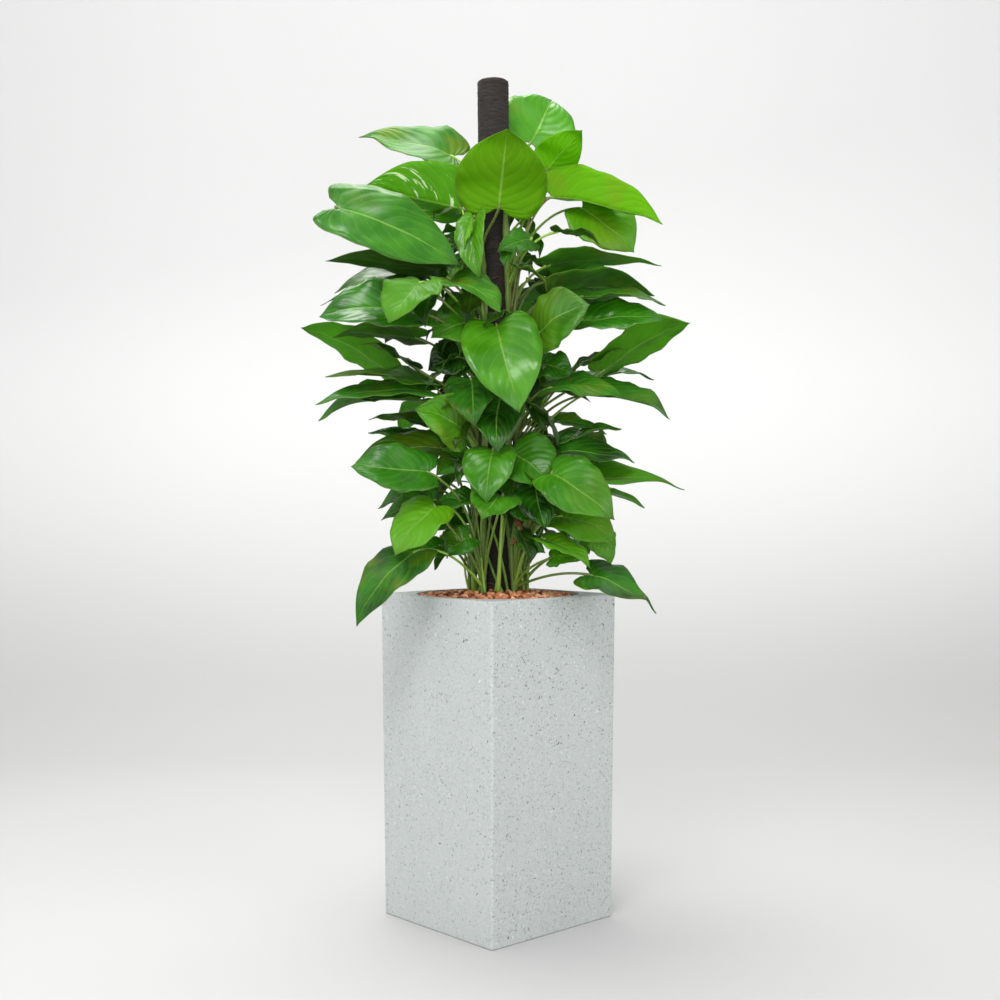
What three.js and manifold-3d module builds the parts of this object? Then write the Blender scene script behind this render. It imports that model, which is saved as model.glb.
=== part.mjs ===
// Potted golden pothos climbing a moss pole, standing in a tall square planter.
// Millimetres, +Z up. The origin is the middle of the planter's underside, on the floor.
// The planter's sides lie along X and Y. The plant is drawn with its front towards -Y and
// then turned as one group, so that its front looks past the planter's (+X, -Y) corner.

import * as THREE from "three";
import { mergeVertices } from "three/addons/utils/BufferGeometryUtils.js";
import Module from "manifold-3d";

const wasm = await Module();
wasm.setup();

// Planter
const potHeight = 600;
const potTopWidth = 311;
const potFootWidth = 300;
const potCornerRadius = 3;
const potEase = 2;
const potWall = 12;
const potFloor = 18;
const deckThickness = 22;
const openingWidth = 288;
const openingCornerRadius = 126;
const overcut = 1;

// Filling
const fitGap = 0.35;
const soilTop = potHeight - deckThickness - fitGap;
const pebbleTop = 598;
const pebbleMound = 18;
const pebblePitch = 32;
const pebbleRise = 7;
const pebbleJitter = 2.6;
const pebbleSeed = 4711;
const spareRows = 4;
const slantColumns = 16;
const drawFactor = 16807;
const drawModulus = 2147483647;

// Moss pole
const poleRadius = 29.5;
const poleFoot = 60;
const poleTop = 1557;
const poleEase = 4;
const poleLean = 0.55;
const leanHeight = 605;
const poleSides = 24;

// Plant
const plantTurn = 47.6;
const stemRadius = 6;
const stemFoot = 500;
const stemSides = 6;
const stemStep = 75;
const stemSway = 6;
const swayPitch = 90;
const stemSplay = 10;
const splayTop = 800;
const petioleRadius = 2.7;
const petioleSides = 3;
const petioleSteps = 3;
const petioleSink = 3;
const petioleSlope = 0.6;
const petioleDrop = 30;
const petioleSpread = 0.2;
const petioleRise = 0.5;
const petioleArrival = 0.35;
const petioleTurn = 0.6;
const lowestPetiole = 628;
const bladeThickness = 1.3;
const bladeWave = 4;
const waveTurns = 9;
const bladeSkew = 0.1;
const skewTurns = 1.3;
const bladeBend = 0.045;
const bendTurns = 0.7;
const goldenAngle = 2.4;

// Half of the heart-shaped blade, from the notch at the petiole to the tip, as fractions of
// its length and half width: the rim's place along and across, the midrib's place along, and
// how much a blunt leaf is broader there. A leaf with a drawn-out tip is narrower there instead.
const bladeRows = [
  { rimAlong: -0.09, rimAcross: 0.24, ribAlong: 0, give: 0 },
  { rimAlong: -0.12, rimAcross: 0.66, ribAlong: 0.08, give: 0 },
  { rimAlong: 0.08, rimAcross: 0.97, ribAlong: 0.24, give: 0 },
  { rimAlong: 0.38, rimAcross: 1, ribAlong: 0.44, give: 0.1 },
  { rimAlong: 0.66, rimAcross: 0.74, ribAlong: 0.66, give: 0.5 },
  { rimAlong: 0.87, rimAcross: 0.31, ribAlong: 0.87, give: 0.85 },
];

// Each climbing stem stands at a bearing round the pole, counted from the front towards +X.
// A leaf is [blade base, blade tip, where its upper face looks, width, arch, fold in degrees],
// and last, where it isn't 0, how blunt the leaf is: 1 is broad at the end, -1 has a thin tail.
const vines = [
  {
    name: "vine_front_left",
    bearing: -35,
    top: 1262,
    leaves: [
      [[2, -72, 1305], [17, -150, 1430], [0, 1, 0.3], 168, 8, 12],
      [[-66, -52, 1308], [-245, -62, 1349], [0, 0.7, 0.7], 150, 10, 35],
      [[-284, -130, 1294], [-66, -104, 1198], [0, -0.9, 0.5], 134, 12, 6],
      [[-150, -62, 1016], [-246, -74, 1062], [0, -0.3, 1], 70, 6, 12],
      [[-56, -80, 1276], [-66, -98, 1210], [-0.5, -1, 0], 34, 3, 20],
      [[-42, -78, 1286], [-34, -106, 1172], [-0.4, -1, 0.1], 64, 6, 30],
      [[-88, -84, 1176], [6, -164, 1108], [0.25, -0.6, 0.8], 100, 8, 8],
      [[-136, -124, 1163], [-192, -178, 1086], [-0.4, -0.8, 0.4], 112, 8, 8],
      [[-112, -112, 1146], [-130, -150, 1082], [-0.5, -1, 0.4], 64, 6, 30],
      [[-133, -110, 1110], [-317, -130, 1103], [0, -1, 0.7], 106, 12, 15, 0.6],
      [[-39, -50, 1108], [-118, -110, 1068], [-0.2, -1, 0.3], 116, 8, 10],
      [[-48, -80, 993], [-42, -150, 907], [-0.2, -1, 0.5], 95, 10, 8],
      [[-62, -90, 900], [-145, -140, 936], [-0.3, -0.9, 0.4], 100, 8, 12],
      [[-9, -110, 864], [-20, -170, 772], [-0.2, -1, 0.5], 95, 8, 8],
      [[-122, -120, 824], [-258, -150, 836], [0, -0.9, 0.6], 92, 10, 12, 0.5],
      [[8, -134, 782], [-28, -196, 744], [0, -0.7, 1], 90, 6, 8],
      [[-44, -70, 780], [-116, -92, 753], [0, -0.6, 1], 60, 6, 10],
      [[-117, -80, 775], [-212, -90, 741], [0, -0.8, 0.8], 60, 6, 15],
      [[-112, -125, 764], [-182, -165, 680], [-0.4, -0.8, 0.5], 104, 10, 10, 0.3],
      [[-50, -70, 708], [-98, -90, 674], [0, -0.9, 0.5], 60, 4, 10],
      [[-146, -130, 684], [-246, -190, 558], [-0.3, -0.8, 0.6], 92, 14, 8],
    ],
  },
  {
    name: "vine_left",
    bearing: -95,
    top: 1370,
    leaves: [
      [[-84, 5, 1418], [-262, 20, 1466], [0, -1, 1], 128, 8, 10, -0.5],
      [[-90, -20, 1200], [-316, -50, 1217], [0, 0.17, 1], 120, 8, 6],
      [[-148, 40, 1200], [-315, 60, 1176], [0, -0.9, 1], 120, 14, 10, -0.3],
      [[-129, -40, 1154], [-327, -40, 1137], [0, -0.3, 1], 100, 12, 12],
      [[-146, -50, 1072], [-304, -50, 1080], [0, 0.3, 1], 78, 6, 10, -0.3],
      [[-204, 20, 1018], [-370, 30, 1104], [0.2, 0.6, 1], 104, 14, 10, 0.7],
      [[-72, -45, 1038], [-128, -58, 1014], [0, -1, 0.6], 76, 8, 10],
      [[-121, -45, 991], [-318, -40, 1006], [0, -0.3, 1], 88, 9, 10],
      [[-127, -60, 973], [-334, -60, 953], [0, -0.5, 1], 90, 7, 12],
      [[-150, -15, 961], [-336, -10, 926], [0, -0.5, 1], 88, 15, 26, 0.5],
      [[-130, 10, 921], [-244, 20, 930], [0, -0.5, 1], 50, 8, 15],
      [[-110, 30, 885], [-247, 45, 907], [0, -0.5, 1], 60, -5, 35],
      [[-58, -50, 852], [-112, -75, 822], [0, -0.9, 0.6], 62, 5, 10],
      [[-86, -30, 868], [-262, -45, 848], [0, -0.6, 1], 100, 14, 12],
      [[-117, -27, 799], [-224, -27, 762], [0, -0.6, 1], 70, 8, 15],
      [[-103, -60, 692], [-162, -80, 668], [0, -0.8, 0.6], 50, 4, 10],
      [[-64, -26, 752], [-130, -44, 718], [0, -0.9, 0.6], 58, 5, 10],
    ],
  },
  {
    name: "vine_front_right",
    bearing: 40,
    top: 1322,
    leaves: [
      [[90, -20, 1384], [154, -75, 1448], [0, 1, 0.5], 82, 8, 12, -0.2],
      [[104, -82, 1260], [186, -84, 1240], [0, 0, 1], 66, 6, 10],
      [[60, -70, 1248], [0, -108, 1222], [0, -0.9, 0.4], 55, 5, 10],
      [[72, -90, 1074], [160, -150, 1120], [-0.2, -0.9, 0.4], 106, 8, 10, 0.5],
      [[-2, -110, 1087], [38, -185, 928], [0.05, -1, 0.45], 141, 12, 8],
      [[5, -70, 960], [0, -150, 862], [0, -1, 0.5], 95, 8, 8],
      [[27, -80, 862], [92, -114, 804], [0.15, -1, 0.4], 112, 6, 8, 0.3],
      [[31, -64, 838], [23, -104, 772], [0, -1, 0.4], 85, 8, 8],
      [[96, -126, 822], [206, -162, 742], [0.2, -0.9, 0.6], 118, 12, 8],
      [[68, -98, 803], [84, -152, 728], [0.1, -1, 0.3], 85, -6, 15],
      [[112, -80, 746], [212, -110, 697], [0.1, -0.7, 0.8], 104, 10, 10],
      [[82, -100, 706], [166, -140, 657], [0.3, -0.6, 1], 62, 10, 10],
      [[44, -80, 704], [85, -100, 682], [0, -1, 0.5], 40, 4, 10],
      [[34, -72, 768], [84, -92, 738], [0, -1, 0.4], 50, 5, 10],
      [[96, -90, 670], [148, -110, 670], [0, -0.9, 0.5], 45, 5, 10],
      [[164, -120, 642], [284, -150, 586], [0.15, -0.6, 1], 116, 6, 8, -1],
    ],
  },
  {
    name: "vine_right",
    bearing: 95,
    top: 1268,
    leaves: [
      [[98, -48, 1330], [300, -80, 1276], [0, 0.7, 0.7], 138, 12, 58],
      [[157, 0, 1320], [255, -15, 1237], [0.3, -0.9, 0.5], 126, 10, 8, 0.4],
      [[92, -20, 1210], [303, -25, 1216], [0, 0.2, 1], 110, 8, 6, -0.4],
      [[104, -30, 1156], [291, -20, 1157], [0, 0.4, 1], 138, 18, 8],
      [[150, -75, 1144], [306, -70, 1133], [0, -0.3, 1], 90, 8, 12],
      [[150, -84, 1100], [300, -94, 1104], [0, -0.9, 0.9], 76, 8, 15, 0.9],
      [[194, -10, 1016], [356, -12, 1108], [-0.2, 0.6, 1], 100, 14, 10, 0.7],
      [[78, -45, 1022], [140, -62, 1002], [0, -1, 0.6], 66, 8, 10],
      [[139, -10, 1014], [238, -30, 1058], [0, -0.3, 1], 60, 6, 10],
      [[151, 60, 1004], [300, 70, 1016], [0, -0.3, 1], 80, 8, 10, -0.6],
      [[93, -70, 979], [228, -100, 960], [0, -0.7, 1], 70, 12, 12],
      [[158, -45, 968], [318, -45, 926], [0, -0.5, 1], 84, 15, 26, 0.5],
      [[69, -30, 964], [172, -30, 960], [0, -0.5, 1], 55, 20, 12],
      [[100, -5, 924], [206, 10, 901], [0, -0.6, 1], 50, 8, 12],
      [[116, -20, 880], [231, 0, 912], [0, -0.4, 1], 48, 4, 25],
      [[107, -52, 861], [249, -72, 846], [0, -0.6, 1], 90, 9, 12],
      [[129, -40, 816], [344, -50, 806], [0, -0.6, 1], 94, 13, 12, -1],
      [[149, -20, 782], [274, -20, 768], [0, -0.4, 1], 60, 8, 20, -0.4],
      [[168, -46, 714], [208, -62, 656], [0.5, -0.7, 0.5], 70, 8, 8],
    ],
  },
  {
    name: "vine_back_right",
    bearing: 150,
    top: 1400,
    leaves: [
      [[63, 52, 1455], [107, 140, 1566], [0.3, -0.8, 0.4], 152, 8, 12],
      [[50, 90, 1385], [92, 235, 1398], [0, -0.2, 1], 120, 14, 10],
      [[125, 70, 1213], [215, 170, 1190], [0.2, 0.3, 1], 115, 14, 10],
      [[30, 110, 1180], [50, 265, 1120], [0, 0.5, 1], 130, 16, 10],
      [[120, 60, 1150], [228, 150, 1138], [0.2, 0.3, 1], 120, 12, 10],
      [[40, 110, 1010], [80, 270, 960], [0, 0.5, 1], 125, 14, 10],
      [[110, 80, 900], [215, 180, 850], [0.3, 0.4, 1], 120, 14, 10],
      [[30, 120, 850], [45, 270, 780], [0, 0.5, 1], 130, 16, 10],
      [[100, 90, 740], [185, 200, 670], [0.3, 0.5, 1], 110, 14, 10],
    ],
  },
  {
    name: "vine_back_left",
    bearing: -150,
    top: 1330,
    leaves: [
      [[-50, 80, 1380], [-110, 215, 1400], [0, -0.3, 1], 120, 12, 10],
      [[-90, 80, 1270], [-190, 190, 1240], [-0.2, 0.3, 1], 125, 14, 10],
      [[-30, 110, 1250], [-45, 255, 1205], [0, 0.4, 1], 120, 14, 10],
      [[-110, 70, 1130], [-225, 160, 1090], [-0.2, 0.3, 1], 130, 14, 10],
      [[-35, 120, 1080], [-60, 275, 1035], [0, 0.5, 1], 130, 16, 10],
      [[-100, 80, 960], [-200, 190, 910], [-0.3, 0.4, 1], 120, 14, 10],
      [[-30, 120, 920], [-40, 275, 870], [0, 0.5, 1], 125, 14, 10],
      [[-100, 90, 810], [-190, 200, 750], [-0.3, 0.4, 1], 120, 14, 10],
      [[-30, 120, 720], [-50, 255, 650], [0, 0.5, 1], 115, 14, 10],
    ],
  },
];

const finishes = {
  pot: { color: "#c5cecc", roughness: 0.75, metalness: 0 },
  soil: { color: "#3a2a1e", roughness: 0.95, metalness: 0 },
  pebbles: { color: "#b5704a", roughness: 0.9, metalness: 0 },
  pole: { color: "#2a2322", roughness: 0.85, metalness: 0 },
  leaf: { color: "#3f8a1c", roughness: 0.35, metalness: 0 },
};

// Joining and cutting

function solidOf(geometry) {
  const bare = new THREE.BufferGeometry();
  bare.setAttribute("position", geometry.getAttribute("position"));
  if (geometry.index) bare.setIndex(geometry.index);
  const merged = mergeVertices(bare);
  const vertProperties = new Float32Array(merged.getAttribute("position").array);
  const triVerts = new Uint32Array(merged.index.array);
  return new wasm.Manifold(new wasm.Mesh({ numProp: 3, vertProperties, triVerts }));
}

function geometryOf(solid) {
  const { vertProperties, triVerts } = solid.getMesh();
  const geometry = new THREE.BufferGeometry();
  geometry.setAttribute("position", new THREE.BufferAttribute(vertProperties, 3));
  geometry.setIndex(new THREE.BufferAttribute(triVerts, 1));
  return geometry;
}

function pieceOf(name, solid, finish) {
  const geometry = geometryOf(solid);
  geometry.computeVertexNormals();
  const piece = new THREE.Mesh(geometry, new THREE.MeshStandardMaterial(finish));
  piece.name = name;
  return piece;
}

// Planter and filling

function roundedSquare(width, radius) {
  const half = width / 2;
  const straight = half - radius;
  const shape = new THREE.Shape();
  shape.moveTo(half, -straight);
  shape.lineTo(half, straight);
  shape.absarc(straight, straight, radius, 0, Math.PI / 2);
  shape.lineTo(-straight, half);
  shape.absarc(-straight, straight, radius, Math.PI / 2, Math.PI);
  shape.lineTo(-half, -straight);
  shape.absarc(-straight, -straight, radius, Math.PI, 1.5 * Math.PI);
  shape.lineTo(straight, -half);
  shape.absarc(straight, -straight, radius, 1.5 * Math.PI, 2 * Math.PI);
  return shape;
}

// A square block from bottom to top that narrows towards the floor as the planter does.
function taperedBlock(inset, cornerRadius, bottom, top, ease) {
  const shape = roundedSquare(potTopWidth - 2 * inset - 2 * ease, cornerRadius);
  const block = new THREE.ExtrudeGeometry(shape, {
    depth: top - bottom - 2 * ease,
    bevelEnabled: ease > 0,
    bevelSize: ease,
    bevelThickness: ease,
    bevelSegments: 1,
    curveSegments: 3,
  });
  block.translate(0, 0, bottom + ease);
  const place = block.getAttribute("position");
  const outerHalf = potTopWidth / 2;
  const narrowing = (potTopWidth - potFootWidth) / 2 / potHeight;
  for (let i = 0; i < place.count; i += 1) {
    const shrink = 1 - (narrowing * (potHeight - place.getZ(i))) / outerHalf;
    place.setX(i, place.getX(i) * shrink);
    place.setY(i, place.getY(i) * shrink);
  }
  return solidOf(block);
}

function openingPlug(bottom, top, gap) {
  const shape = roundedSquare(openingWidth - 2 * gap, openingCornerRadius);
  const plug = new THREE.ExtrudeGeometry(shape, {
    depth: top - bottom,
    bevelEnabled: false,
    curveSegments: 7,
  });
  plug.translate(0, 0, bottom);
  return solidOf(plug);
}

function makePot() {
  const cavityTop = potHeight - deckThickness;
  const body = taperedBlock(0, potCornerRadius, 0, potHeight, potEase);
  const cavity = taperedBlock(potWall, potCornerRadius, potFloor, cavityTop, 0);
  return body.subtract(cavity).subtract(openingPlug(cavityTop - overcut, potHeight + overcut, 0));
}

function makeSoil() {
  return taperedBlock(potWall + fitGap, potCornerRadius, potFloor + fitGap, soilTop, 0);
}

function drawFrom(seed) {
  let state = seed;
  return () => {
    state = (state * drawFactor) % drawModulus;
    return state / drawModulus;
  };
}

// A bed of clay pebbles: a lattice of peaks with lower points halfway between them, every
// point shaken a little, and the whole bed heaped towards the stems.
function makePebbles() {
  const draw = drawFrom(pebbleSeed);
  const spacing = pebblePitch / 2;
  const rowSpacing = spacing * Math.sin(Math.PI / 3);
  const rows = 2 * Math.ceil(openingWidth / 2 / rowSpacing) + spareRows;
  const columns = rows + slantColumns;
  const bottom = soilTop - pebbleRise;
  const bed = new THREE.BoxGeometry(columns * spacing, rows * rowSpacing, 1, columns, rows, 1);
  const merged = mergeVertices(new THREE.BufferGeometry()
    .setAttribute("position", bed.getAttribute("position"))
    .setIndex(bed.index));
  const place = merged.getAttribute("position");
  for (let i = 0; i < place.count; i += 1) {
    const row = Math.round(place.getY(i) / rowSpacing + rows / 2);
    const column = Math.round(place.getX(i) / spacing + columns / 2);
    const onTop = place.getZ(i) > 0;
    const peak = row % 2 === 0 && column % 2 === 0;
    const slant = place.getY(i) / Math.tan(Math.PI / 3);
    const x = place.getX(i) + slant + (2 * draw() - 1) * pebbleJitter;
    const y = place.getY(i) + (2 * draw() - 1) * pebbleJitter;
    const heap = pebbleMound * Math.max(0, 1 - Math.hypot(x, y) / (openingWidth / 2));
    const rise = (peak ? pebbleRise : 0) + draw() * pebbleJitter;
    const z = onTop ? pebbleTop - pebbleRise + heap + rise : bottom;
    place.setXYZ(i, x, y, z);
  }
  return solidOf(merged);
}

// Pole

function poleSolid(extra) {
  const radius = poleRadius + extra;
  const foot = poleFoot - extra;
  const profile = [
    new THREE.Vector2(0, foot),
    new THREE.Vector2(radius, foot),
    new THREE.Vector2(radius, poleTop - poleEase),
    new THREE.Vector2(radius - poleEase / 3, poleTop - poleEase / 3),
    new THREE.Vector2(radius - poleEase, poleTop),
    new THREE.Vector2(0, poleTop),
  ];
  const pole = new THREE.LatheGeometry(profile, poleSides);
  pole.rotateX(Math.PI / 2);
  pole.translate(0, 0, -leanHeight);
  pole.rotateY(THREE.MathUtils.degToRad(-poleLean));
  pole.translate(0, 0, leanHeight);
  return solidOf(pole);
}

// Stems and leaves

function tubeAlong(path, radius, sides, steps) {
  const section = new THREE.Shape();
  for (let i = 0; i < sides; i += 1) {
    const angle = (2 * Math.PI * i) / sides;
    const corner = [radius * Math.cos(angle), radius * Math.sin(angle)];
    if (i === 0) section.moveTo(...corner);
    else section.lineTo(...corner);
  }
  section.closePath();
  return solidOf(new THREE.ExtrudeGeometry(section, { steps, extrudePath: path, curveSegments: 1 }));
}

// The middle of a stem at a height: it follows the leaning pole and sways round it a little.
function stemPoint(vine, height) {
  const sway = stemSway * Math.sin(height / swayPitch + vine.bearing);
  const bearing = THREE.MathUtils.degToRad(vine.bearing + (height > soilTop ? sway : 0));
  const splay = stemSplay * THREE.MathUtils.smoothstep(splayTop - height, 0, splayTop - soilTop);
  const offset = poleRadius + stemRadius + 2 * fitGap + splay;
  const lean = (height - leanHeight) * Math.tan(THREE.MathUtils.degToRad(poleLean));
  return new THREE.Vector3(offset * Math.sin(bearing) - lean, -offset * Math.cos(bearing), height);
}

function stemSolid(vine, extra) {
  const points = [];
  const steps = Math.round((vine.top - stemFoot) / stemStep);
  for (let i = 0; i <= steps; i += 1) {
    points.push(stemPoint(vine, THREE.MathUtils.lerp(stemFoot - extra, vine.top, i / steps)));
  }
  return tubeAlong(new THREE.CatmullRomCurve3(points), stemRadius + extra, stemSides, steps);
}

function bladeFrame([base, tip, looks]) {
  const origin = new THREE.Vector3(...base);
  const along = new THREE.Vector3(...tip).sub(origin);
  const length = along.length();
  along.normalize();
  const up = new THREE.Vector3(...looks);
  up.addScaledVector(along, -up.dot(along)).normalize();
  return { origin, along, up, side: along.clone().cross(up), length };
}

// A closed blade: the upper face, the same face one thickness lower, and the rim between.
function bladeSolid(leaf, index) {
  const [, , , width, arch, fold, blunt = 0] = leaf;
  const { origin, along, up, side, length } = bladeFrame(leaf);
  const slope = THREE.MathUtils.degToRad(fold);
  const phase = index * goldenAngle;
  const pointAt = (placeAlong, placeAcross, drop) => {
    const uneven = 1 + bladeSkew * Math.sin(skewTurns * phase) * Math.sign(placeAcross);
    const reach = (placeAcross * uneven * width) / 2;
    const hump = 4 * placeAlong * (1 - placeAlong);
    const bow = arch * hump;
    const bend = bladeBend * length * Math.sin(bendTurns * phase) * hump;
    const wave = bladeWave * Math.abs(placeAcross) * Math.sin(phase + waveTurns * placeAlong + placeAcross);
    const lift = bow + wave + Math.abs(reach) * Math.sin(slope) - drop;
    return origin.clone()
      .addScaledVector(along, placeAlong * length)
      .addScaledVector(side, reach * Math.cos(slope) + bend)
      .addScaledVector(up, lift);
  };
  const points = [];
  for (const drop of [0, bladeThickness]) {
    for (const row of bladeRows) {
      const across = row.rimAcross * (1 + blunt * row.give);
      points.push(pointAt(row.rimAlong, -across, drop));
      points.push(pointAt(row.ribAlong, 0, drop));
      points.push(pointAt(row.rimAlong, across, drop));
    }
    points.push(pointAt(1, 0, drop));
  }
  const faceSize = points.length / 2;
  const tipPoint = faceSize - 1;
  const triangles = [];
  const addFace = (a, b, c) => {
    triangles.push(a, c, b);
    triangles.push(a + faceSize, b + faceSize, c + faceSize);
  };
  const addRim = (a, b) => {
    triangles.push(b, a, a + faceSize);
    triangles.push(b, a + faceSize, b + faceSize);
  };
  const lastRow = 3 * (bladeRows.length - 1);
  for (let row = 0; row < lastRow; row += 3) {
    addFace(row, row + 3, row + 1);
    addFace(row + 1, row + 3, row + 4);
    addFace(row + 1, row + 4, row + 5);
    addFace(row + 1, row + 5, row + 2);
    addRim(row + 3, row);
    addRim(row + 2, row + 5);
  }
  addFace(lastRow, tipPoint, lastRow + 1);
  addFace(lastRow + 1, tipPoint, lastRow + 2);
  addRim(tipPoint, lastRow);
  addRim(lastRow + 2, tipPoint);
  addRim(0, 1);
  addRim(1, 2);
  const blade = new THREE.BufferGeometry().setFromPoints(points);
  blade.setIndex(triangles);
  return solidOf(blade);
}

// The petiole leaves the stem steeply, arches outwards and runs a little way into the blade.
function petiolePath(vine, leaf) {
  const [base, tip] = leaf;
  const { origin, along } = bladeFrame(leaf);
  const reach = Math.min(...[base, tip].map(([x, y, z]) => {
    const stem = stemPoint(vine, z);
    return Math.hypot(x - stem.x, y - stem.y);
  }));
  const start = Math.max(lowestPetiole, origin.z - petioleSlope * reach - petioleDrop);
  const from = stemPoint(vine, Math.min(start, vine.top - stemRadius));
  const rise = origin.z - from.z;
  const way = origin.clone().sub(from);
  const arrival = way.clone().normalize();
  if (way.dot(along) > 0) arrival.lerp(along, petioleTurn).normalize();
  const leaving = from.clone().addScaledVector(way, petioleSpread);
  leaving.z = from.z + petioleRise * rise;
  const arriving = origin.clone().addScaledVector(arrival, -petioleArrival * way.length());
  const end = origin.clone().addScaledVector(arrival, petioleSink);
  return new THREE.CubicBezierCurve3(from, leaving, arriving, end);
}

function petioleSolid(vine, leaf) {
  return tubeAlong(petiolePath(vine, leaf), petioleRadius, petioleSides, petioleSteps);
}

function vineSolid(vine) {
  const pieces = [stemSolid(vine, 0)];
  vine.leaves.forEach((leaf, index) => {
    pieces.push(petioleSolid(vine, leaf));
    pieces.push(bladeSolid(leaf, index));
  });
  return pieces.reduce((joined, piece) => joined.add(piece));
}

// Assembly

const plant = new THREE.Group();
plant.rotation.z = THREE.MathUtils.degToRad(plantTurn);
plant.add(pieceOf("moss_pole", poleSolid(0), finishes.pole));
for (const vine of vines) {
  plant.add(pieceOf(vine.name, vineSolid(vine), finishes.leaf));
}

// The holes that the pole and the stems stand in, turned with the plant.
const turn = [0, 0, plantTurn];
const holes = vines.map((vine) => stemSolid(vine, fitGap)).concat(poleSolid(fitGap));
const cutHoles = (solid) => holes.reduce((left, hole) => left.subtract(hole.rotate(turn)), solid);
const pebbleSpace = openingPlug(soilTop + fitGap, potHeight + 2 * pebbleMound, fitGap);
const pebbleBed = makePebbles().intersect(pebbleSpace);

const pottedPothos = new THREE.Group();
pottedPothos.add(pieceOf("pot", makePot(), finishes.pot));
pottedPothos.add(pieceOf("soil", cutHoles(makeSoil()), finishes.soil));
pottedPothos.add(pieceOf("clay_pebbles", cutHoles(pebbleBed), finishes.pebbles));
pottedPothos.add(plant);

export default pottedPothos;
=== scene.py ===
import bpy
import bmesh
import math
import random
from mathutils import Matrix, Vector, noise


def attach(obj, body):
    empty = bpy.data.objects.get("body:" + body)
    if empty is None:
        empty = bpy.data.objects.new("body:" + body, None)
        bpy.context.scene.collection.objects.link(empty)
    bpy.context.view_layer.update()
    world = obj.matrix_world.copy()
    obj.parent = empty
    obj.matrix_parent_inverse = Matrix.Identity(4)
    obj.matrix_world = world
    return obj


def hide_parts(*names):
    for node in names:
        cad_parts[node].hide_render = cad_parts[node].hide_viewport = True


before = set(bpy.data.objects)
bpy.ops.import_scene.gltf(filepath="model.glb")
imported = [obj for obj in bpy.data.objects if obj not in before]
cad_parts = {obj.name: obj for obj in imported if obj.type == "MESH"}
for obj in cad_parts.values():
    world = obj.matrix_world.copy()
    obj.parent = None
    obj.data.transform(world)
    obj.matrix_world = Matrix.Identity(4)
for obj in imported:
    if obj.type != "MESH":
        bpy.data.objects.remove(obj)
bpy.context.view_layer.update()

# The plant is worked in millimetres with its front towards -Y, then turned into the frame.
plantTurn = 47.6
inMetres = Matrix.Scale(0.001, 4)
toPart = Matrix.Rotation(math.radians(plantTurn), 4, "Z") @ inMetres
soilTop = 577.65


def smoothStep(low, high, value):
    t = min(1, max(0, (value - low) / (high - low)))
    return t * t * (3 - 2 * t)


def mix(a, b, share):
    return a + (b - a) * share


def bezier(a, b, c, d, t):
    s = 1 - t
    return a * s ** 3 + b * (3 * s * s * t) + c * (3 * s * t * t) + d * t ** 3


def curvePoints(corners, steps):
    return [bezier(*[Vector(corner) for corner in corners], i / steps) for i in range(steps + 1)]


def makePiece(name, bm, place, materials, nodes=()):
    bm.transform(place)
    mesh = bpy.data.meshes.new(name)
    bm.to_mesh(mesh)
    bm.free()
    for material in materials:
        mesh.materials.append(material)
    piece = bpy.data.objects.new(name, mesh)
    bpy.context.collection.objects.link(piece)
    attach(piece, "root")
    if nodes:
        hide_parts(*nodes)
    return piece


# Adds a finished small bmesh to a larger one. Operators stay quick on small ones.
def joinInto(total, part):
    mesh = bpy.data.meshes.new("joined")
    part.to_mesh(mesh)
    part.free()
    total.from_mesh(mesh)
    bpy.data.meshes.remove(mesh)


def newPart(layers):
    bm = bmesh.new()
    made = [getattr(getattr(bm, where).layers, kind).new(name) for where, kind, name in layers]
    return bm, made


# A grid rolled into a tube along the points, with both ends closed.
def addTube(total, layers, points, radii, sides, slotIndex=0, look=None, lump=None):
    bm, made = newPart(layers)
    last = len(points) - 1
    frames = []
    direction = Vector((0, 0, 1))
    turn = Matrix.Identity(3).to_quaternion()
    for step, point in enumerate(points):
        ahead = (points[min(step + 1, last)] - points[max(step - 1, 0)]).normalized()
        turn = direction.rotation_difference(ahead) @ turn
        direction = ahead
        frames.append((point, turn.to_matrix()))
    grid = bmesh.ops.create_grid(bm, x_segments=sides, y_segments=last, size=1)["verts"]
    for v in grid:
        step = round((v.co.y + 1) / 2 * last)
        angle = math.pi * v.co.x
        point, around = frames[step]
        out = around @ Vector((math.cos(angle), math.sin(angle), 0))
        v.co = point + out * radii[step]
        if lump:
            v.co += out * lump(v.co)
    bmesh.ops.remove_doubles(bm, verts=grid, dist=0.01)
    bmesh.ops.holes_fill(bm, edges=bm.edges[:], sides=sides)
    bmesh.ops.recalc_face_normals(bm, faces=bm.faces[:])
    for face in bm.faces:
        face.smooth = True
        face.material_index = slotIndex
        for layer in made if look is not None else ():
            for loop in face.loops:
                loop[layer] = look
    joinInto(total, bm)


def feed(tree, socket, value):
    if isinstance(value, bpy.types.NodeSocket):
        tree.links.new(value, socket)
    else:
        socket.default_value = value


def addNode(tree, kind, inputs=None, **settings):
    node = tree.nodes.new("ShaderNode" + kind)
    for key, value in settings.items():
        setattr(node, key, value)
    for key, value in (inputs or {}).items():
        feed(tree, node.inputs[key], value)
    return node


# A material with an empty tree, and the place on the object that its patterns follow.
def newMaterial(name):
    material = bpy.data.materials.new(name)
    material.use_nodes = True
    tree = material.node_tree
    tree.nodes.clear()
    return material, tree, addNode(tree, "TexCoord").outputs["Object"]


def calc(tree, operation, *values, clamp=False):
    return addNode(tree, "Math", dict(enumerate(values)), operation=operation, use_clamp=clamp).outputs[0]


# A smooth step of the value, from low where it is fromLow to high where it is fromHigh.
def ramp(tree, value, low, high, fromLow=0, fromHigh=1):
    return addNode(tree, "MapRange", {
        "Value": value, "From Min": fromLow, "From Max": fromHigh, "To Min": low, "To Max": high},
        interpolation_type="SMOOTHSTEP").outputs["Result"]


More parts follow.
